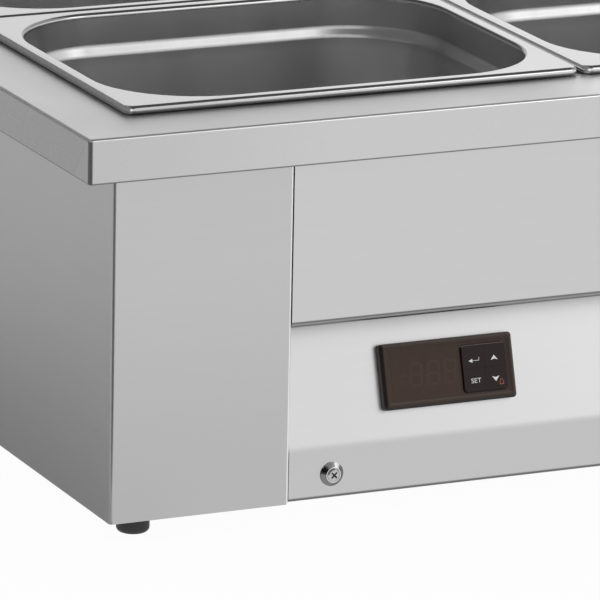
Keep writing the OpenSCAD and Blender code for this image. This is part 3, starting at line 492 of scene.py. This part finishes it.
browns = ((0.050, 0.030, 0.021, 1), (0.057, 0.034, 0.025, 1))
segmentBrown = moulded("segmentBrown", browns, 0.22, (60.0, 1500.0), 0.25, 0.03)


def windowBuild(tree):
    place = tree.coords()
    cloud = tree.noise(place, 90.0, 2.0)
    dust = tree.ease(tree.noise(place, 2600.0, 1.0), 0.70, 0.80)
    tint = tree.mixColour(cloud, (0.040, 0.021, 0.014, 1), (0.052, 0.029, 0.020, 1))
    return {"Base Color": tint, "Roughness": 0.16 + dust * 0.2 + (cloud - 0.5) * 0.06}


windowSmoke = finish("windowSmoke", {"Specular IOR Level": 0.25}, windowBuild)


def woolBuild(tree):
    place = tree.coords()
    fibre = tree.noise(place, (260.0, 900.0, 900.0), 4.0, 0.7)
    tuft = tree.noise(place, 70.0, 3.0, 0.6)
    tint = tree.mixColour(fibre * 0.6 + tuft * 0.4, (0.42, 0.34, 0.16, 1), (0.70, 0.62, 0.38, 1))
    return {"Base Color": tint, "Normal": tree.bump(fibre + tuft, 0.6, 0.0012)}


mineralWool = finish("mineralWool", {"Roughness": 0.95}, woolBuild)
print("finishes made:", len(bpy.data.materials))


# Making pieces
def finishPiece(name, bm, material, body, nodes, slot, angle=32.0):
    mesh = bpy.data.meshes.new(name)
    bm.to_mesh(mesh)
    bm.free()
    mesh.polygons.foreach_set("use_smooth", [True] * len(mesh.polygons))
    mesh.set_sharp_from_angle(angle=math.radians(angle))
    mesh.materials.clear()
    mesh.materials.append(material)
    piece = bpy.data.objects.new(name, mesh)
    bpy.context.scene.collection.objects.link(piece)
    weighted = piece.modifiers.new("flatFaces", "WEIGHTED_NORMAL")
    weighted.keep_sharp = True
    weighted.weight = 90
    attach(piece, body)
    if nodes:
        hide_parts(*nodes)


def roundEdges(bm, geom, width, segments=2, affect="EDGES", clamp=True):
    bmesh.ops.bevel(
        bm, geom=geom, offset=width * mm, offset_type="OFFSET", segments=segments, profile=0.5,
        affect=affect, clamp_overlap=clamp, material=-1,
    )


def sharpEdges(bm, angle=40.0):
    limit = math.radians(angle)
    return [e for e in bm.edges if len(e.link_faces) == 2 and e.calc_face_angle(0.0) > limit]


def mergedCopy(node):
    bm = bmesh.new()
    bm.from_mesh(frame["nodes"][node].data)
    bmesh.ops.remove_doubles(bm, verts=bm.verts, dist=2e-6)
    return bm


def joinFlats(bm):
    bmesh.ops.dissolve_limit(bm, angle_limit=math.radians(0.6), verts=bm.verts, edges=bm.edges)


# A merged copy of a node, with its sharp edges taken off
def dressNode(name, node, material, slot, edge):
    bm = mergedCopy(node)
    if edge:
        joinFlats(bm)
        roundEdges(bm, sharpEdges(bm), edge)
    body = frame["nodes"][node]["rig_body"]
    finishPiece(name, bm, material, body, [node], slot)


# A round-cornered loop of edges, flat at height z
def roundLoop(bm, width, depth, corner, z, centre=(0.0, 0.0), segments=12):
    made = bmesh.ops.create_grid(bm, x_segments=1, y_segments=1, size=0.5)["verts"]
    bmesh.ops.scale(bm, verts=made, vec=(width * mm, depth * mm, 1.0))
    bmesh.ops.translate(bm, verts=made, vec=(centre[0] * mm, centre[1] * mm, z * mm))
    face = made[0].link_faces[0]
    if corner:
        roundEdges(bm, made, corner, segments, "VERTICES", False)
        face = max(bm.faces, key=lambda f: f.index) if not face.is_valid else face
    edges = list(face.edges)
    bmesh.ops.delete(bm, geom=[face], context="FACES_ONLY")
    return edges


def bridge(bm, first, second):
    bmesh.ops.bridge_loops(bm, edges=first + second)


# A flat ring or plate between loops of edges
def fillLoops(bm, *loops):
    edges = [e for loop in loops for e in loop]
    bmesh.ops.triangle_fill(bm, use_beauty=True, use_dissolve=False, edges=edges)


def faceUp(bm):
    for face in bm.faces:
        face.normal_update()
        if face.normal.z < 0:
            face.normal_flip()


# A sheet folded along straight lines: points in a plane, swept along one axis
def foldedSheet(points, radii, sweep, thickness, cuts=None):
    bm = bmesh.new()
    row = [bm.verts.new(Vector(p) * mm) for p in points]
    edges = [bm.edges.new(pair) for pair in zip(row, row[1:])]
    made = bmesh.ops.extrude_edge_only(bm, edges=edges)["geom"]
    moved = [v for v in made if isinstance(v, bmesh.types.BMVert)]
    bmesh.ops.translate(bm, verts=moved, vec=Vector(sweep) * mm)
    folds = []
    for i in range(1, len(row) - 1):
        fold = [e for e in row[i].link_edges if e.other_vert(row[i]) not in row][0]
        turn = fold.calc_face_angle()
        folds.append((fold, radii[i - 1] * math.tan(turn / 2)))
    for fold, offset in folds:
        roundEdges(bm, [fold], offset, 8, clamp=False)
    if cuts:
        cuts(bm)
    bmesh.ops.solidify(bm, geom=bm.faces, thickness=thickness * mm)
    bmesh.ops.recalc_face_normals(bm, faces=bm.faces)
    roundEdges(bm, sharpEdges(bm, 60.0), cabinet["sheetEdge"])
    return bm


# Cabinet
cabinet = {
    "half": 350.5, "front": -304.0, "back": 271.0, "bottom": 15.0, "top": 273.8,
    "sheet": 1.2, "sheetEdge": 0.2, "fold": 2.5, "rearFold": 15.0,
    "bayHalf": 224.5, "bayReturn": 30.1, "bayFold": 1.6,
}


def sidePanel(name, node, hand):
    c = cabinet
    points = [
        (hand * c["bayHalf"], c["front"] + c["bayReturn"], c["bottom"]),
        (hand * c["bayHalf"], c["front"], c["bottom"]),
        (hand * c["half"], c["front"], c["bottom"]),
        (hand * c["half"], c["back"], c["bottom"]),
        (hand * (c["half"] - c["rearFold"]), c["back"], c["bottom"]),
    ]
    radii = [c["bayFold"], c["fold"], c["fold"]]
    bm = foldedSheet(points, radii, (0, 0, c["top"] - c["bottom"]), -hand * c["sheet"])
    finishPiece(name, bm, sideSteel, "cabinet", [node], "satin_steel")


sidePanel("leftSidePanel", "left_side_panel", -1)
sidePanel("rightSidePanel", "right_side_panel", 1)

upperPanel = {"half": 224.3, "bottom": 133.0, "return": 22.0, "fold": 5.5}
upperPoints = [
    (-upperPanel["half"], cabinet["front"] + upperPanel["return"], upperPanel["bottom"]),
    (-upperPanel["half"], cabinet["front"], upperPanel["bottom"]),
    (-upperPanel["half"], cabinet["front"], cabinet["top"]),
]
bm = foldedSheet(upperPoints, [upperPanel["fold"]], (2 * upperPanel["half"], 0, 0), cabinet["sheet"])
finishPiece("upperFrontPanel", bm, upperSteel, "cabinet", ["upper_front_panel"], "satin_steel")

slope = {
    "half": 224.3, "stripY": -302.0, "stripBottom": 16.3, "foldZ": 51.0, "topZ": 139.0,
    "lean": 25.1, "rise": 82.0, "fold": 8.0,
}
slope["angle"] = math.atan(slope["lean"] / slope["rise"])
slope["topY"] = slope["stripY"] + (slope["topZ"] - slope["foldZ"]) * math.tan(slope["angle"])
controller = {"x": -107.0, "rise": 40.5, "cutWidth": 91.0, "cutHeight": 38.5}
# The controller's own frame: X along the slope, Y up it, Z out of it
slopeFrame = Matrix.Translation(Vector((0, slope["stripY"], slope["foldZ"])) * mm)
slopeFrame = slopeFrame @ Matrix.Rotation(math.pi / 2 - slope["angle"], 4, "X")
controllerFrame = slopeFrame @ Matrix.Translation(Vector((controller["x"], controller["rise"], 0)) * mm)


def cutController(bm):
    halves = ((controller["cutWidth"] / 2, 0), (controller["cutHeight"] / 2, 1))
    for half, axis in halves:
        for sign in (-1, 1):
            local = Vector((0, 0, 0))
            local[axis] = sign
            normal = controllerFrame.to_3x3() @ local
            point = controllerFrame @ (local * half * mm)
            geom = bm.verts[:] + bm.edges[:] + bm.faces[:]
            bmesh.ops.bisect_plane(bm, geom=geom, plane_co=point, plane_no=normal)
    inverse = controllerFrame.inverted()
    inner = []
    for f in bm.faces:
        at = inverse @ f.calc_center_median()
        if abs(at.x) < halves[0][0] * mm and abs(at.y) < halves[1][0] * mm:
            inner.append(f)
    bmesh.ops.delete(bm, geom=inner, context="FACES")


slopePoints = [
    (-slope["half"], slope["stripY"], slope["stripBottom"]),
    (-slope["half"], slope["stripY"], slope["foldZ"]),
    (-slope["half"], slope["topY"], slope["topZ"]),
]
bm = foldedSheet(slopePoints, [slope["fold"]], (2 * slope["half"], 0, 0), cabinet["sheet"], cutController)
finishPiece("controlPanel", bm, slopeSteel, "cabinet", ["control_panel"], "panel_steel")
print("cabinet sheets folded")

# Counter
counter = {
    "opening": (646.0, 525.0), "openingCorner": 23.0, "corner": 3.2, "bend": 2.1, "lowBend": 1.6,
    "return": 10.0, "returnCorner": 0.4, "rise": 0.05, "edgeReach": 3.0,
}


def makeCounter():
    top = counterSize["top"]
    low = top - counterSize["fascia"]
    w = counterSize["width"]
    d = counterSize["depth"]
    bm = bmesh.new()
    opening = roundLoop(bm, *counter["opening"], counter["openingCorner"], top)
    rim = roundLoop(bm, w, d, counter["corner"], top)
    drop = roundLoop(bm, w, d, counter["corner"], low)
    back = 2 * counter["return"]
    inner = roundLoop(bm, w - back, d - back, counter["returnCorner"], low + counter["rise"])
    bridge(bm, opening, rim)
    bridge(bm, rim, drop)
    bridge(bm, drop, inner)
    bmesh.ops.recalc_face_normals(bm, faces=bm.faces)
    roundEdges(bm, rim, counter["bend"], 6)
    lowEdges = []
    for e in sharpEdges(bm, 60.0):
        x, y = [max(abs(v.co[i]) for v in e.verts) / mm for i in (0, 1)]
        outer = x > w / 2 - counter["edgeReach"] or y > d / 2 - counter["edgeReach"]
        if outer and all(abs(v.co.z / mm - low) < 1e-4 for v in e.verts):
            lowEdges.append(e)
    roundEdges(bm, lowEdges, counter["lowBend"], 5)
    return bm


bm = makeCounter()
highest = max(bm.faces, key=lambda f: f.calc_center_median().z)
if highest.normal.z < 0:
    bmesh.ops.reverse_faces(bm, faces=bm.faces)
bmesh.ops.solidify(bm, geom=bm.faces, thickness=cabinet["sheet"] * mm)
finishPiece("countertop", bm, counterSteel, "cabinet", ["countertop"], "satin_steel")

# Pans
pan = {
    "size": (325.0, 265.0), "rim": 10.5, "top": 281.0, "lip": 6.0, "lipCorner": 7.0, "edge": 2.9,
    "mouth": 3.0, "corner": 68.0, "shoulderTop": 23.5, "shoulderHeight": 5.5, "shoulderIn": 3.0,
    "depth": 150.0, "draft": 5.0, "floor": 18.0, "sheet": 0.8, "crease": 7.0, "return": 3.7,
    "returnBend": 2.9, "fall": 0.05,
}
panPlaces = {
    "panFrontLeft": ("pan_front_left", (-164.0, -133.5)),
    "panFrontRight": ("pan_front_right", (164.0, -133.5)),
    "panRearLeft": ("pan_rear_left", (-164.0, 133.5)),
    "panRearRight": ("pan_rear_right", (164.0, 133.5)),
}


# Stops round a quarter bend of a section, turning clockwise from the start angle
def quarterBend(x, z, radius, start, count=5):
    turns = [math.radians(start - 90 * i / count) for i in range(count + 1)]
    return [(x + radius * math.cos(t), z + radius * math.sin(t)) for t in turns]


# A pan's section, as insets from its outer edge and depths below its rim, carried round by loops
def makePan(centre):
    p = pan
    w, d = p["size"]
    bm = bmesh.new()
    bend = p["returnBend"]
    lip = [(p["return"], p["fall"] - p["lip"])]
    lip += quarterBend(bend, bend - p["lip"], bend, 270)
    lip += quarterBend(p["edge"], -p["edge"], p["edge"], 180)
    mouth = quarterBend(p["rim"] - p["mouth"], -p["mouth"] - p["fall"], p["mouth"], 90)
    low = p["shoulderTop"] + p["shoulderHeight"]
    wallIn = p["rim"] + p["shoulderIn"]
    mouth += [(p["rim"], -p["shoulderTop"]), (wallIn, -low), (wallIn + p["draft"], -p["depth"])]
    stops = [(inset, z, p["lipCorner"] - inset) for inset, z in lip]
    stops += [(inset, z, p["corner"] + p["rim"] - inset) for inset, z in mouth]
    loops = []
    for inset, z, corner in stops:
        loops.append(roundLoop(bm, w - 2 * inset, d - 2 * inset, corner, p["top"] + z, centre))
    for first, second in zip(loops, loops[1:]):
        bridge(bm, first, second)
    bmesh.ops.contextual_create(bm, geom=loops[-1])
    bmesh.ops.recalc_face_normals(bm, faces=bm.faces)
    floor = min(bm.faces, key=lambda f: f.calc_center_median().z)
    if floor.normal.z < 0:
        bmesh.ops.reverse_faces(bm, faces=bm.faces)
    for loop, radius, segments in zip(loops[-3:], (p["crease"], p["crease"], p["floor"]), (5, 5, 10)):
        turn = max(e.calc_face_angle() for e in loop)
        roundEdges(bm, loop, radius * math.tan(turn / 2), segments)
    bmesh.ops.solidify(bm, geom=bm.faces, thickness=p["sheet"] * mm)
    return bm


for name, (node, centre) in panPlaces.items():
    finishPiece(name, makePan(centre), panSteel, node, [node], "pan_steel", 40.0)
print("counter and pans made")

# Controller
bezel = {
    "width": 96.0, "height": 43.5, "corner": 2.5, "innerCorner": 0.8, "back": 0.8, "front": 6.8, "slant": 2.0,
    "face": 1.2, "fall": 0.02, "slope": 1.4, "sink": 0.7, "skin": 2.4, "cavity": (87.0, 34.5), "round": 0.35,
}
window = {"x": -17.0, "width": 49.0, "height": 33.4, "corner": 0.6, "back": 4.9, "front": 6.2, "round": 0.08}
keys = {
    "x": 25.5, "width": 32.0, "height": 31.0, "corner": 2.5, "gap": 0.3, "joint": 0.05, "front": 8.0,
    "round": 0.5, "roundReach": 0.05, "outerShare": 0.465,
}
bezel["field"] = bezel["front"] - bezel["sink"]


def placeOnSlope(bm):
    bmesh.ops.transform(bm, matrix=controllerFrame, verts=bm.verts)


def keyHole(bm, z):
    grow = 2 * keys["gap"]
    corner = keys["corner"] + keys["gap"]
    return roundLoop(bm, keys["width"] + grow, keys["height"] + grow, corner, z, (keys["x"], 0.0), 6)


def windowEdge(bm, z):
    g = window
    return roundLoop(bm, g["width"], g["height"], g["corner"], z, (g["x"], 0.0), 4)


def makeBezel():
    b = bezel
    bm = bmesh.new()
    face = 2 * b["slant"]
    inner = face + 2 * b["face"]
    field = inner + 2 * b["slope"]
    stops = [
        (0.0, b["corner"], b["back"]),
        (0.0, b["corner"], b["front"] - b["slant"]),
        (face, b["corner"] - 0.6 * b["slant"], b["front"]),
        (inner, b["innerCorner"], b["front"] - b["fall"]),
        (field, b["innerCorner"], b["field"]),
    ]
    loops = []
    for less, corner, z in stops:
        loops.append(roundLoop(bm, b["width"] - less, b["height"] - less, corner, z, segments=6))
    for first, second in zip(loops, loops[1:]):
        bridge(bm, first, second)
    skinBack = b["front"] - b["skin"]
    hole = keyHole(bm, b["field"])
    holeBack = keyHole(bm, skinBack)
    pane = windowEdge(bm, b["field"])
    paneBack = windowEdge(bm, skinBack)
    cavity = roundLoop(bm, *b["cavity"], 0.0, skinBack)
    cavityBack = roundLoop(bm, *b["cavity"], 0.0, b["back"])
    fillLoops(bm, loops[-1], hole, pane)
    bridge(bm, hole, holeBack)
    bridge(bm, pane, paneBack)
    fillLoops(bm, cavity, holeBack, paneBack)
    bridge(bm, cavity, cavityBack)
    fillLoops(bm, loops[0], cavityBack)
    bmesh.ops.recalc_face_normals(bm, faces=bm.faces)
    for loop in loops[1:4]:
        roundEdges(bm, loop, b["round"], 3)
    placeOnSlope(bm)
    return bm


def makeWindow():
    bm = bmesh.new()
    loops = [windowEdge(bm, z) for z in (window["back"], window["front"])]
    bridge(bm, *loops)
    for loop in loops:
        bmesh.ops.contextual_create(bm, geom=loop)
    bmesh.ops.recalc_face_normals(bm, faces=bm.faces)
    roundEdges(bm, loops[1], window["round"])
    placeOnSlope(bm)
    return bm


finishPiece("controllerBezel", makeBezel(), bezelPlastic, "cabinet", ["controller_bezel"], "bezel_plastic")
finishPiece("controllerWindow", makeWindow(), windowSmoke, "cabinet", ["controller_window"], "window_plastic")

# The unlit figures behind the window
figures = {
    "centres": (-23.7, -11.2, 1.2), "width": 9.3, "height": 16.2, "stroke": 1.7, "tip": 0.45, "gap": 0.35,
    "lean": 0.07, "dash": (-32.7, 4.6), "lift": 0.02,
}


def segment(bm, x, y, length, upright):
    made = bmesh.ops.create_grid(bm, x_segments=1, y_segments=1, size=0.5)["verts"]
    bmesh.ops.scale(bm, verts=made, vec=(length * mm, figures["stroke"] * mm, 1.0))
    if upright:
        bmesh.ops.rotate(bm, verts=made, matrix=Matrix.Rotation(math.pi / 2, 3, "Z"))
    bmesh.ops.translate(bm, verts=made, vec=(x * mm, y * mm, (window["front"] + figures["lift"]) * mm))
    roundEdges(bm, made, figures["stroke"] * figures["tip"], 1, "VERTICES")


def makeFigures():
    g = figures
    bm = bmesh.new()
    across = g["width"] - g["stroke"]
    up = (g["height"] - g["stroke"]) / 2
    for x in g["centres"]:
        for level in (-1, 0, 1):
            segment(bm, x, level * up, across - g["gap"], False)
        for side in (-1, 1):
            for half in (-0.5, 0.5):
                segment(bm, x + side * across / 2, half * up, up - g["gap"], True)
    segment(bm, g["dash"][0], 0.0, g["dash"][1], False)
    for v in bm.verts:
        v.co.x += v.co.y * g["lean"]
    placeOnSlope(bm)
    return bm


finishPiece("unlitFigures", makeFigures(), segmentBrown, "cabinet", [], "window_plastic")


# Keys: the block's outer edges are softer than the joints between the keys
def makeKey(name, node):
    bm = mergedCopy(node)
    joinFlats(bm)
    inverse = controllerFrame.inverted()
    for v in bm.verts:
        at = inverse @ v.co / mm
        for axis, middle in ((0, keys["x"]), (1, 0.0)):
            if abs(at[axis] - middle) < keys["gap"]:
                at[axis] = middle + math.copysign(keys["joint"], at[axis] - middle)
        v.co = controllerFrame @ (at * mm)
    outer = []
    for e in sharpEdges(bm):
        at = inverse @ ((e.verts[0].co + e.verts[1].co) / 2) / mm
        reach = max(abs(at.x - keys["x"]) / keys["width"], abs(at.y) / keys["height"])
        if at.z > keys["front"] - keys["roundReach"] and reach > keys["outerShare"]:
            outer.append(e)
    roundEdges(bm, outer, keys["round"], 3)
    finishPiece(name, bm, keyPlastic, node, [node], "key_plastic")


keyNodes = {"keyEnter": "key_enter", "keyUp": "key_up", "keySet": "key_set", "keyDown": "key_down"}
for name, node in keyNodes.items():
    makeKey(name, node)

# Marks printed on the keys, as outlines in millimetres on the controller's face
marks = {
    "enterMark": ("key_enter", "legendWhite", [
        [(14.0, 4.95), (16.9, 6.25), (16.9, 3.65)],
        [(16.9, 5.1), (16.9, 4.8), (21.5, 4.8), (21.5, 5.1)],
        [(21.5, 4.8), (21.8, 4.8), (21.8, 7.0), (21.5, 7.0)],
    ]),
    "upMark": ("key_up", "legendWhite", [
        [(32.7, 7.5), (30.1, 4.1), (32.7, 5.0)],
        [(32.7, 7.5), (32.7, 5.0), (35.3, 4.1)],
    ]),
    "downMark": ("key_down", "legendWhite", [
        [(32.6, -10.0), (35.3, -6.4), (32.6, -7.3)],
        [(32.6, -10.0), (32.6, -7.3), (29.9, -6.4)],
    ]),
    "lampMark": ("key_down", "legendOrange", [
        [(36.2, -8.3), (36.6, -8.3), (35.5, -10.3), (35.0, -10.4)],
        [(36.6, -8.3), (37.0, -8.3), (38.2, -10.4), (37.7, -10.3)],
        [(35.0, -10.4), (35.5, -10.3), (35.7, -11.9), (35.2, -12.3)],
        [(37.7, -10.3), (38.2, -10.4), (38.0, -12.3), (37.5, -11.9)],
        [(35.2, -12.3), (35.7, -11.9), (37.5, -11.9), (38.0, -12.3)],
    ]),
}
markLift = 0.02
legendFinish = {"legendWhite": (legendWhite, "pale_plastic"), "legendOrange": (legendOrange, "red_plastic")}
for name, (body, colour, outlines) in marks.items():
    bm = bmesh.new()
    for outline in outlines:
        bm.faces.new([bm.verts.new((x * mm, y * mm, (keys["front"] + markLift) * mm)) for x, y in outline])
    faceUp(bm)
    placeOnSlope(bm)
    finishPiece(name, bm, legendFinish[colour][0], body, [], legendFinish[colour][1])

setWord = {"body": "SET", "x": 18.3, "y": -8.2, "width": 7.2, "height": 3.1}


def makeWord():
    curve = bpy.data.curves.new("setMark", "FONT")
    curve.body = setWord["body"]
    curve.align_x = "CENTER"
    curve.align_y = "CENTER"
    holder = bpy.data.objects.new("setWord", curve)
    bpy.context.scene.collection.objects.link(holder)
    evaluated = holder.evaluated_get(bpy.context.evaluated_depsgraph_get())
    mesh = bpy.data.meshes.new_from_object(evaluated)
    bpy.data.objects.remove(holder)
    bm = bmesh.new()
    bm.from_mesh(mesh)
    bpy.data.meshes.remove(mesh)
    low = Vector(min(v.co[i] for v in bm.verts) for i in range(3))
    high = Vector(max(v.co[i] for v in bm.verts) for i in range(3))
    size = high - low
    bmesh.ops.translate(bm, verts=bm.verts, vec=(low + high) / -2)
    scale = (setWord["width"] * mm / size.x, setWord["height"] * mm / size.y, 1)
    bmesh.ops.scale(bm, verts=bm.verts, vec=scale)
    place = Vector((setWord["x"], setWord["y"], keys["front"] + markLift)) * mm
    bmesh.ops.translate(bm, verts=bm.verts, vec=place)
    placeOnSlope(bm)
    return bm


finishPiece("setMark", makeWord(), legendWhite, "key_set", [], "pale_plastic")
print("controller made")

# The rest of the nodes, merged and with their edges broken
dressed = [
    ("backPanel", "back_panel", sheetSteel, "satin_steel", 0.2),
    ("basePlate", "base_plate", baseSteel, "satin_steel", 0.0),
    ("well", "well", wellSteel, "well_steel", 0.0),
    ("dividerBar", "divider_bar", wellSteel, "well_steel", 0.25),
    ("crossBars", "cross_bars", wellSteel, "well_steel", 0.25),
    ("insulation", "insulation", mineralWool, "mineral_wool", 0.0),
    ("leftElement", "left_element", elementSteel, "element_steel", 0.0),
    ("rightElement", "right_element", elementSteel, "element_steel", 0.0),
    ("elementFittings", "element_fittings", brass, "brass", 0.2),
    ("elementSeals", "element_seals", sealRubber, "rubber", 0.2),
    ("elementClips", "element_clips", wellSteel, "well_steel", 0.15),
    ("temperatureProbe", "temperature_probe", elementSteel, "element_steel", 0.4),
    ("probeClip", "probe_clip", wellSteel, "well_steel", 0.1),
    ("safetyThermostat", "safety_thermostat", blackPlastic, "black_plastic", 0.15),
    ("feet", "feet", footRubber, "rubber", 0.0),
    ("footScrews", "foot_screws", brightSteel, "bright_steel", 0.1),
    ("panelScrews", "panel_screws", screwSteel, "bright_steel", 0.1),
    ("cupWashers", "cup_washers", cupSteel, "bright_steel", 0.25),
    ("backScrews", "back_screws", brightSteel, "bright_steel", 0.15),
    ("controllerGasket", "controller_gasket", sealRubber, "rubber", 0.1),
    ("controllerDisplay", "controller_display", palePlastic, "pale_plastic", 0.3),
    ("controllerBoard", "controller_board", boardGreen, "board", 0.1),
    ("controllerCase", "controller_case", blackPlastic, "black_plastic", 0.3),
    ("controllerClips", "controller_clips", blackPlastic, "black_plastic", 0.4),
    ("contactor", "contactor", palePlastic, "pale_plastic", 0.5),
    ("terminalBlock", "terminal_block", palePlastic, "pale_plastic", 0.4),
    ("wiringLoom", "wiring_loom", blackPlastic, "black_plastic", 0.0),
    ("cableGland", "cable_gland", blackPlastic, "black_plastic", 0.3),
    ("glandNut", "gland_nut", blackPlastic, "black_plastic", 0.3),
    ("bondingStud", "bonding_stud", brass, "brass", 0.3),
    ("bondingNut", "bonding_nut", brass, "brass", 0.2),
    ("drainStrainer", "drain_strainer", wellSteel, "well_steel", 0.2),
    ("drainGasket", "drain_gasket", sealRubber, "rubber", 0.2),
    ("drainLocknut", "drain_locknut", brass, "brass", 0.4),
    ("drainPipe", "drain_pipe", brass, "brass", 0.0),
    ("drainGrommet", "drain_grommet", sealRubber, "rubber", 0.3),
    ("valveBody", "valve_body", brass, "brass", 0.3),
    ("valveBall", "valve_ball", brightSteel, "bright_steel", 0.1),
    ("valveLever", "valve_lever", brightSteel, "bright_steel", 0.2),
    ("valveGrip", "valve_grip", gripRed, "red_plastic", 0.4),
    ("valveNut", "valve_nut", brightSteel, "bright_steel", 0.2),
]
for name, node, material, slot, edge in dressed:
    dressNode(name, node, material, slot, edge)
print("nodes dressed:", len(dressed))

# Stage, in metres
stage = {"floor": 20.0, "drop": 0.0003, "paint": 0.86, "floorGlow": 0.96, "skySoft": 0.85, "skySeen": 1.0}
keyLamp = {"place": (1.9, -2.6, 2.2), "target": (0.0, 0.0, 0.1), "size": 1.4, "power": 9.0}


def stageObject(name, bm, material):
    mesh = bpy.data.meshes.new(name)
    bm.to_mesh(mesh)
    bm.free()
    mesh.materials.append(material)
    made = bpy.data.objects.new(name, mesh)
    bpy.context.scene.collection.objects.link(made)
    return made


floorMaterial = bpy.data.materials.new("paleFloor")
floorMaterial.use_nodes = True
tree = NodeTree(floorMaterial.node_tree)
paint = tree.node("ShaderNodeBsdfDiffuse", {}, {"Color": grey(stage["paint"])})
glow = tree.node("ShaderNodeEmission", {}, {"Color": grey(1.0), "Strength": 1.0})
blend = tree.node("ShaderNodeMixShader", {}, {0: tree.seen() * stage["floorGlow"], 1: paint, 2: glow})
tree.node("ShaderNodeOutputMaterial", {}, {"Surface": blend})
floorBm = bmesh.new()
bmesh.ops.create_grid(floorBm, x_segments=1, y_segments=1, size=stage["floor"])
bmesh.ops.translate(floorBm, verts=floorBm.verts, vec=(0, 0, -stage["drop"]))
floor = stageObject("floor", floorBm, floorMaterial)

world = bpy.data.worlds.new("studio")
world.use_nodes = True
bpy.context.scene.world = world
tree = NodeTree(world.node_tree)
strength = tree.seen() * (stage["skySeen"] - stage["skySoft"]) + stage["skySoft"]
back = tree.node("ShaderNodeBackground", {}, {"Color": grey(1.0), "Strength": strength})
tree.node("ShaderNodeOutputWorld", {}, {"Surface": back})

lampData = bpy.data.lights.new("keyLamp", "AREA")
lampData.shape = "RECTANGLE"
lampData.size = keyLamp["size"]
lampData.size_y = keyLamp["size"]
lampData.energy = keyLamp["power"]
lamp = bpy.data.objects.new("keyLamp", lampData)
lamp.location = keyLamp["place"]
lamp.rotation_mode = "QUATERNION"
lamp.rotation_quaternion = (Vector(keyLamp["target"]) - Vector(keyLamp["place"])).to_track_quat("-Z", "Y")
bpy.context.scene.collection.objects.link(lamp)


# A studio card, out of sight, that only the metal mirrors; its tone runs evenly from one x to another
def studioCard(name, low, high, stops):
    def build(tree):
        (nearX, near), (farX, far) = stops
        along = tree.ease(tree.split(tree.coords(), 0), nearX, farX)
        return {"Base Color": tree.mixColour(along, grey(near), grey(far))}

    cardBm = bmesh.new()
    bmesh.ops.create_grid(cardBm, x_segments=1, y_segments=1, size=0.5)
    size = Vector(high) - Vector(low)
    if size.z:
        axis = "X" if size.x else "Y"
        bmesh.ops.rotate(cardBm, verts=cardBm.verts, matrix=Matrix.Rotation(math.pi / 2, 3, axis))
    bmesh.ops.scale(cardBm, verts=cardBm.verts, vec=[s or 1.0 for s in size])
    bmesh.ops.translate(cardBm, verts=cardBm.verts, vec=(Vector(low) + Vector(high)) / 2)
    card = stageObject(name, cardBm, finish(name, {"Roughness": 1.0}, build))
    card.visible_camera = False
    card.visible_shadow = False
    card.visible_diffuse = False


studioCard("floorCard", (-2.6, -0.35, 0.002), (-0.352, 2.6, 0.002), ((-0.34, 0.65), (-0.80, 0.78)))
studioCard("cornerCard", (-2.6, -1.9, 0.002), (-0.42, -0.36, 0.002), ((-2.6, 0.12), (-0.42, 0.15)))
studioCard("ceilingCard", (-3.5, -1.7, 2.3), (1.5, 1.7, 2.3), ((-3.5, 0.22), (1.5, 0.27)))
studioCard("rearCeilingCard", (-3.5, 1.7, 2.3), (0.1, 4.3, 2.3), ((-3.5, 0.22), (0.1, 0.27)))
studioCard("frontCeilingCard", (-3.5, -3.4, 2.3), (0.3, -1.7, 2.3), ((-3.5, 0.22), (0.3, 0.27)))
studioCard("backCard", (-2.8, 2.4, 0.003), (-0.15, 2.4, 1.7), ((-2.8, 0.20), (-0.15, 0.24)))
studioCard("leftCard", (-2.8, -3.4, 0.003), (-2.8, 2.4, 2.3), ((-3.0, 0.22), (-2.0, 0.26)))

# Camera at the photograph's place
lens = {"focal": 6603.0, "image": 600.0, "sensor": 36.0}
cameraPlace = Vector((-1.9303, -4.0417, 1.2886))
cameraRight = Vector((0.91121701, -0.41150006, 0.01874189))
cameraDown = Vector((-0.09317438, -0.25021522, -0.96369648))
cameraForward = Vector((0.40125066, 0.87639037, -0.26634162))
cameraData = bpy.data.cameras.new("camera")
cameraData.sensor_width = lens["sensor"]
cameraData.lens = lens["focal"] / lens["image"] * lens["sensor"]
cameraData.clip_end = 100.0
camera = bpy.data.objects.new("camera", cameraData)
turn = Matrix((cameraRight, -cameraDown, -cameraForward)).transposed()
camera.matrix_world = Matrix.Translation(cameraPlace) @ turn.to_4x4()
bpy.context.scene.collection.objects.link(camera)
bpy.context.scene.camera = camera
bpy.context.scene.view_settings.view_transform = "Standard"
print("stage, lamp and camera set")
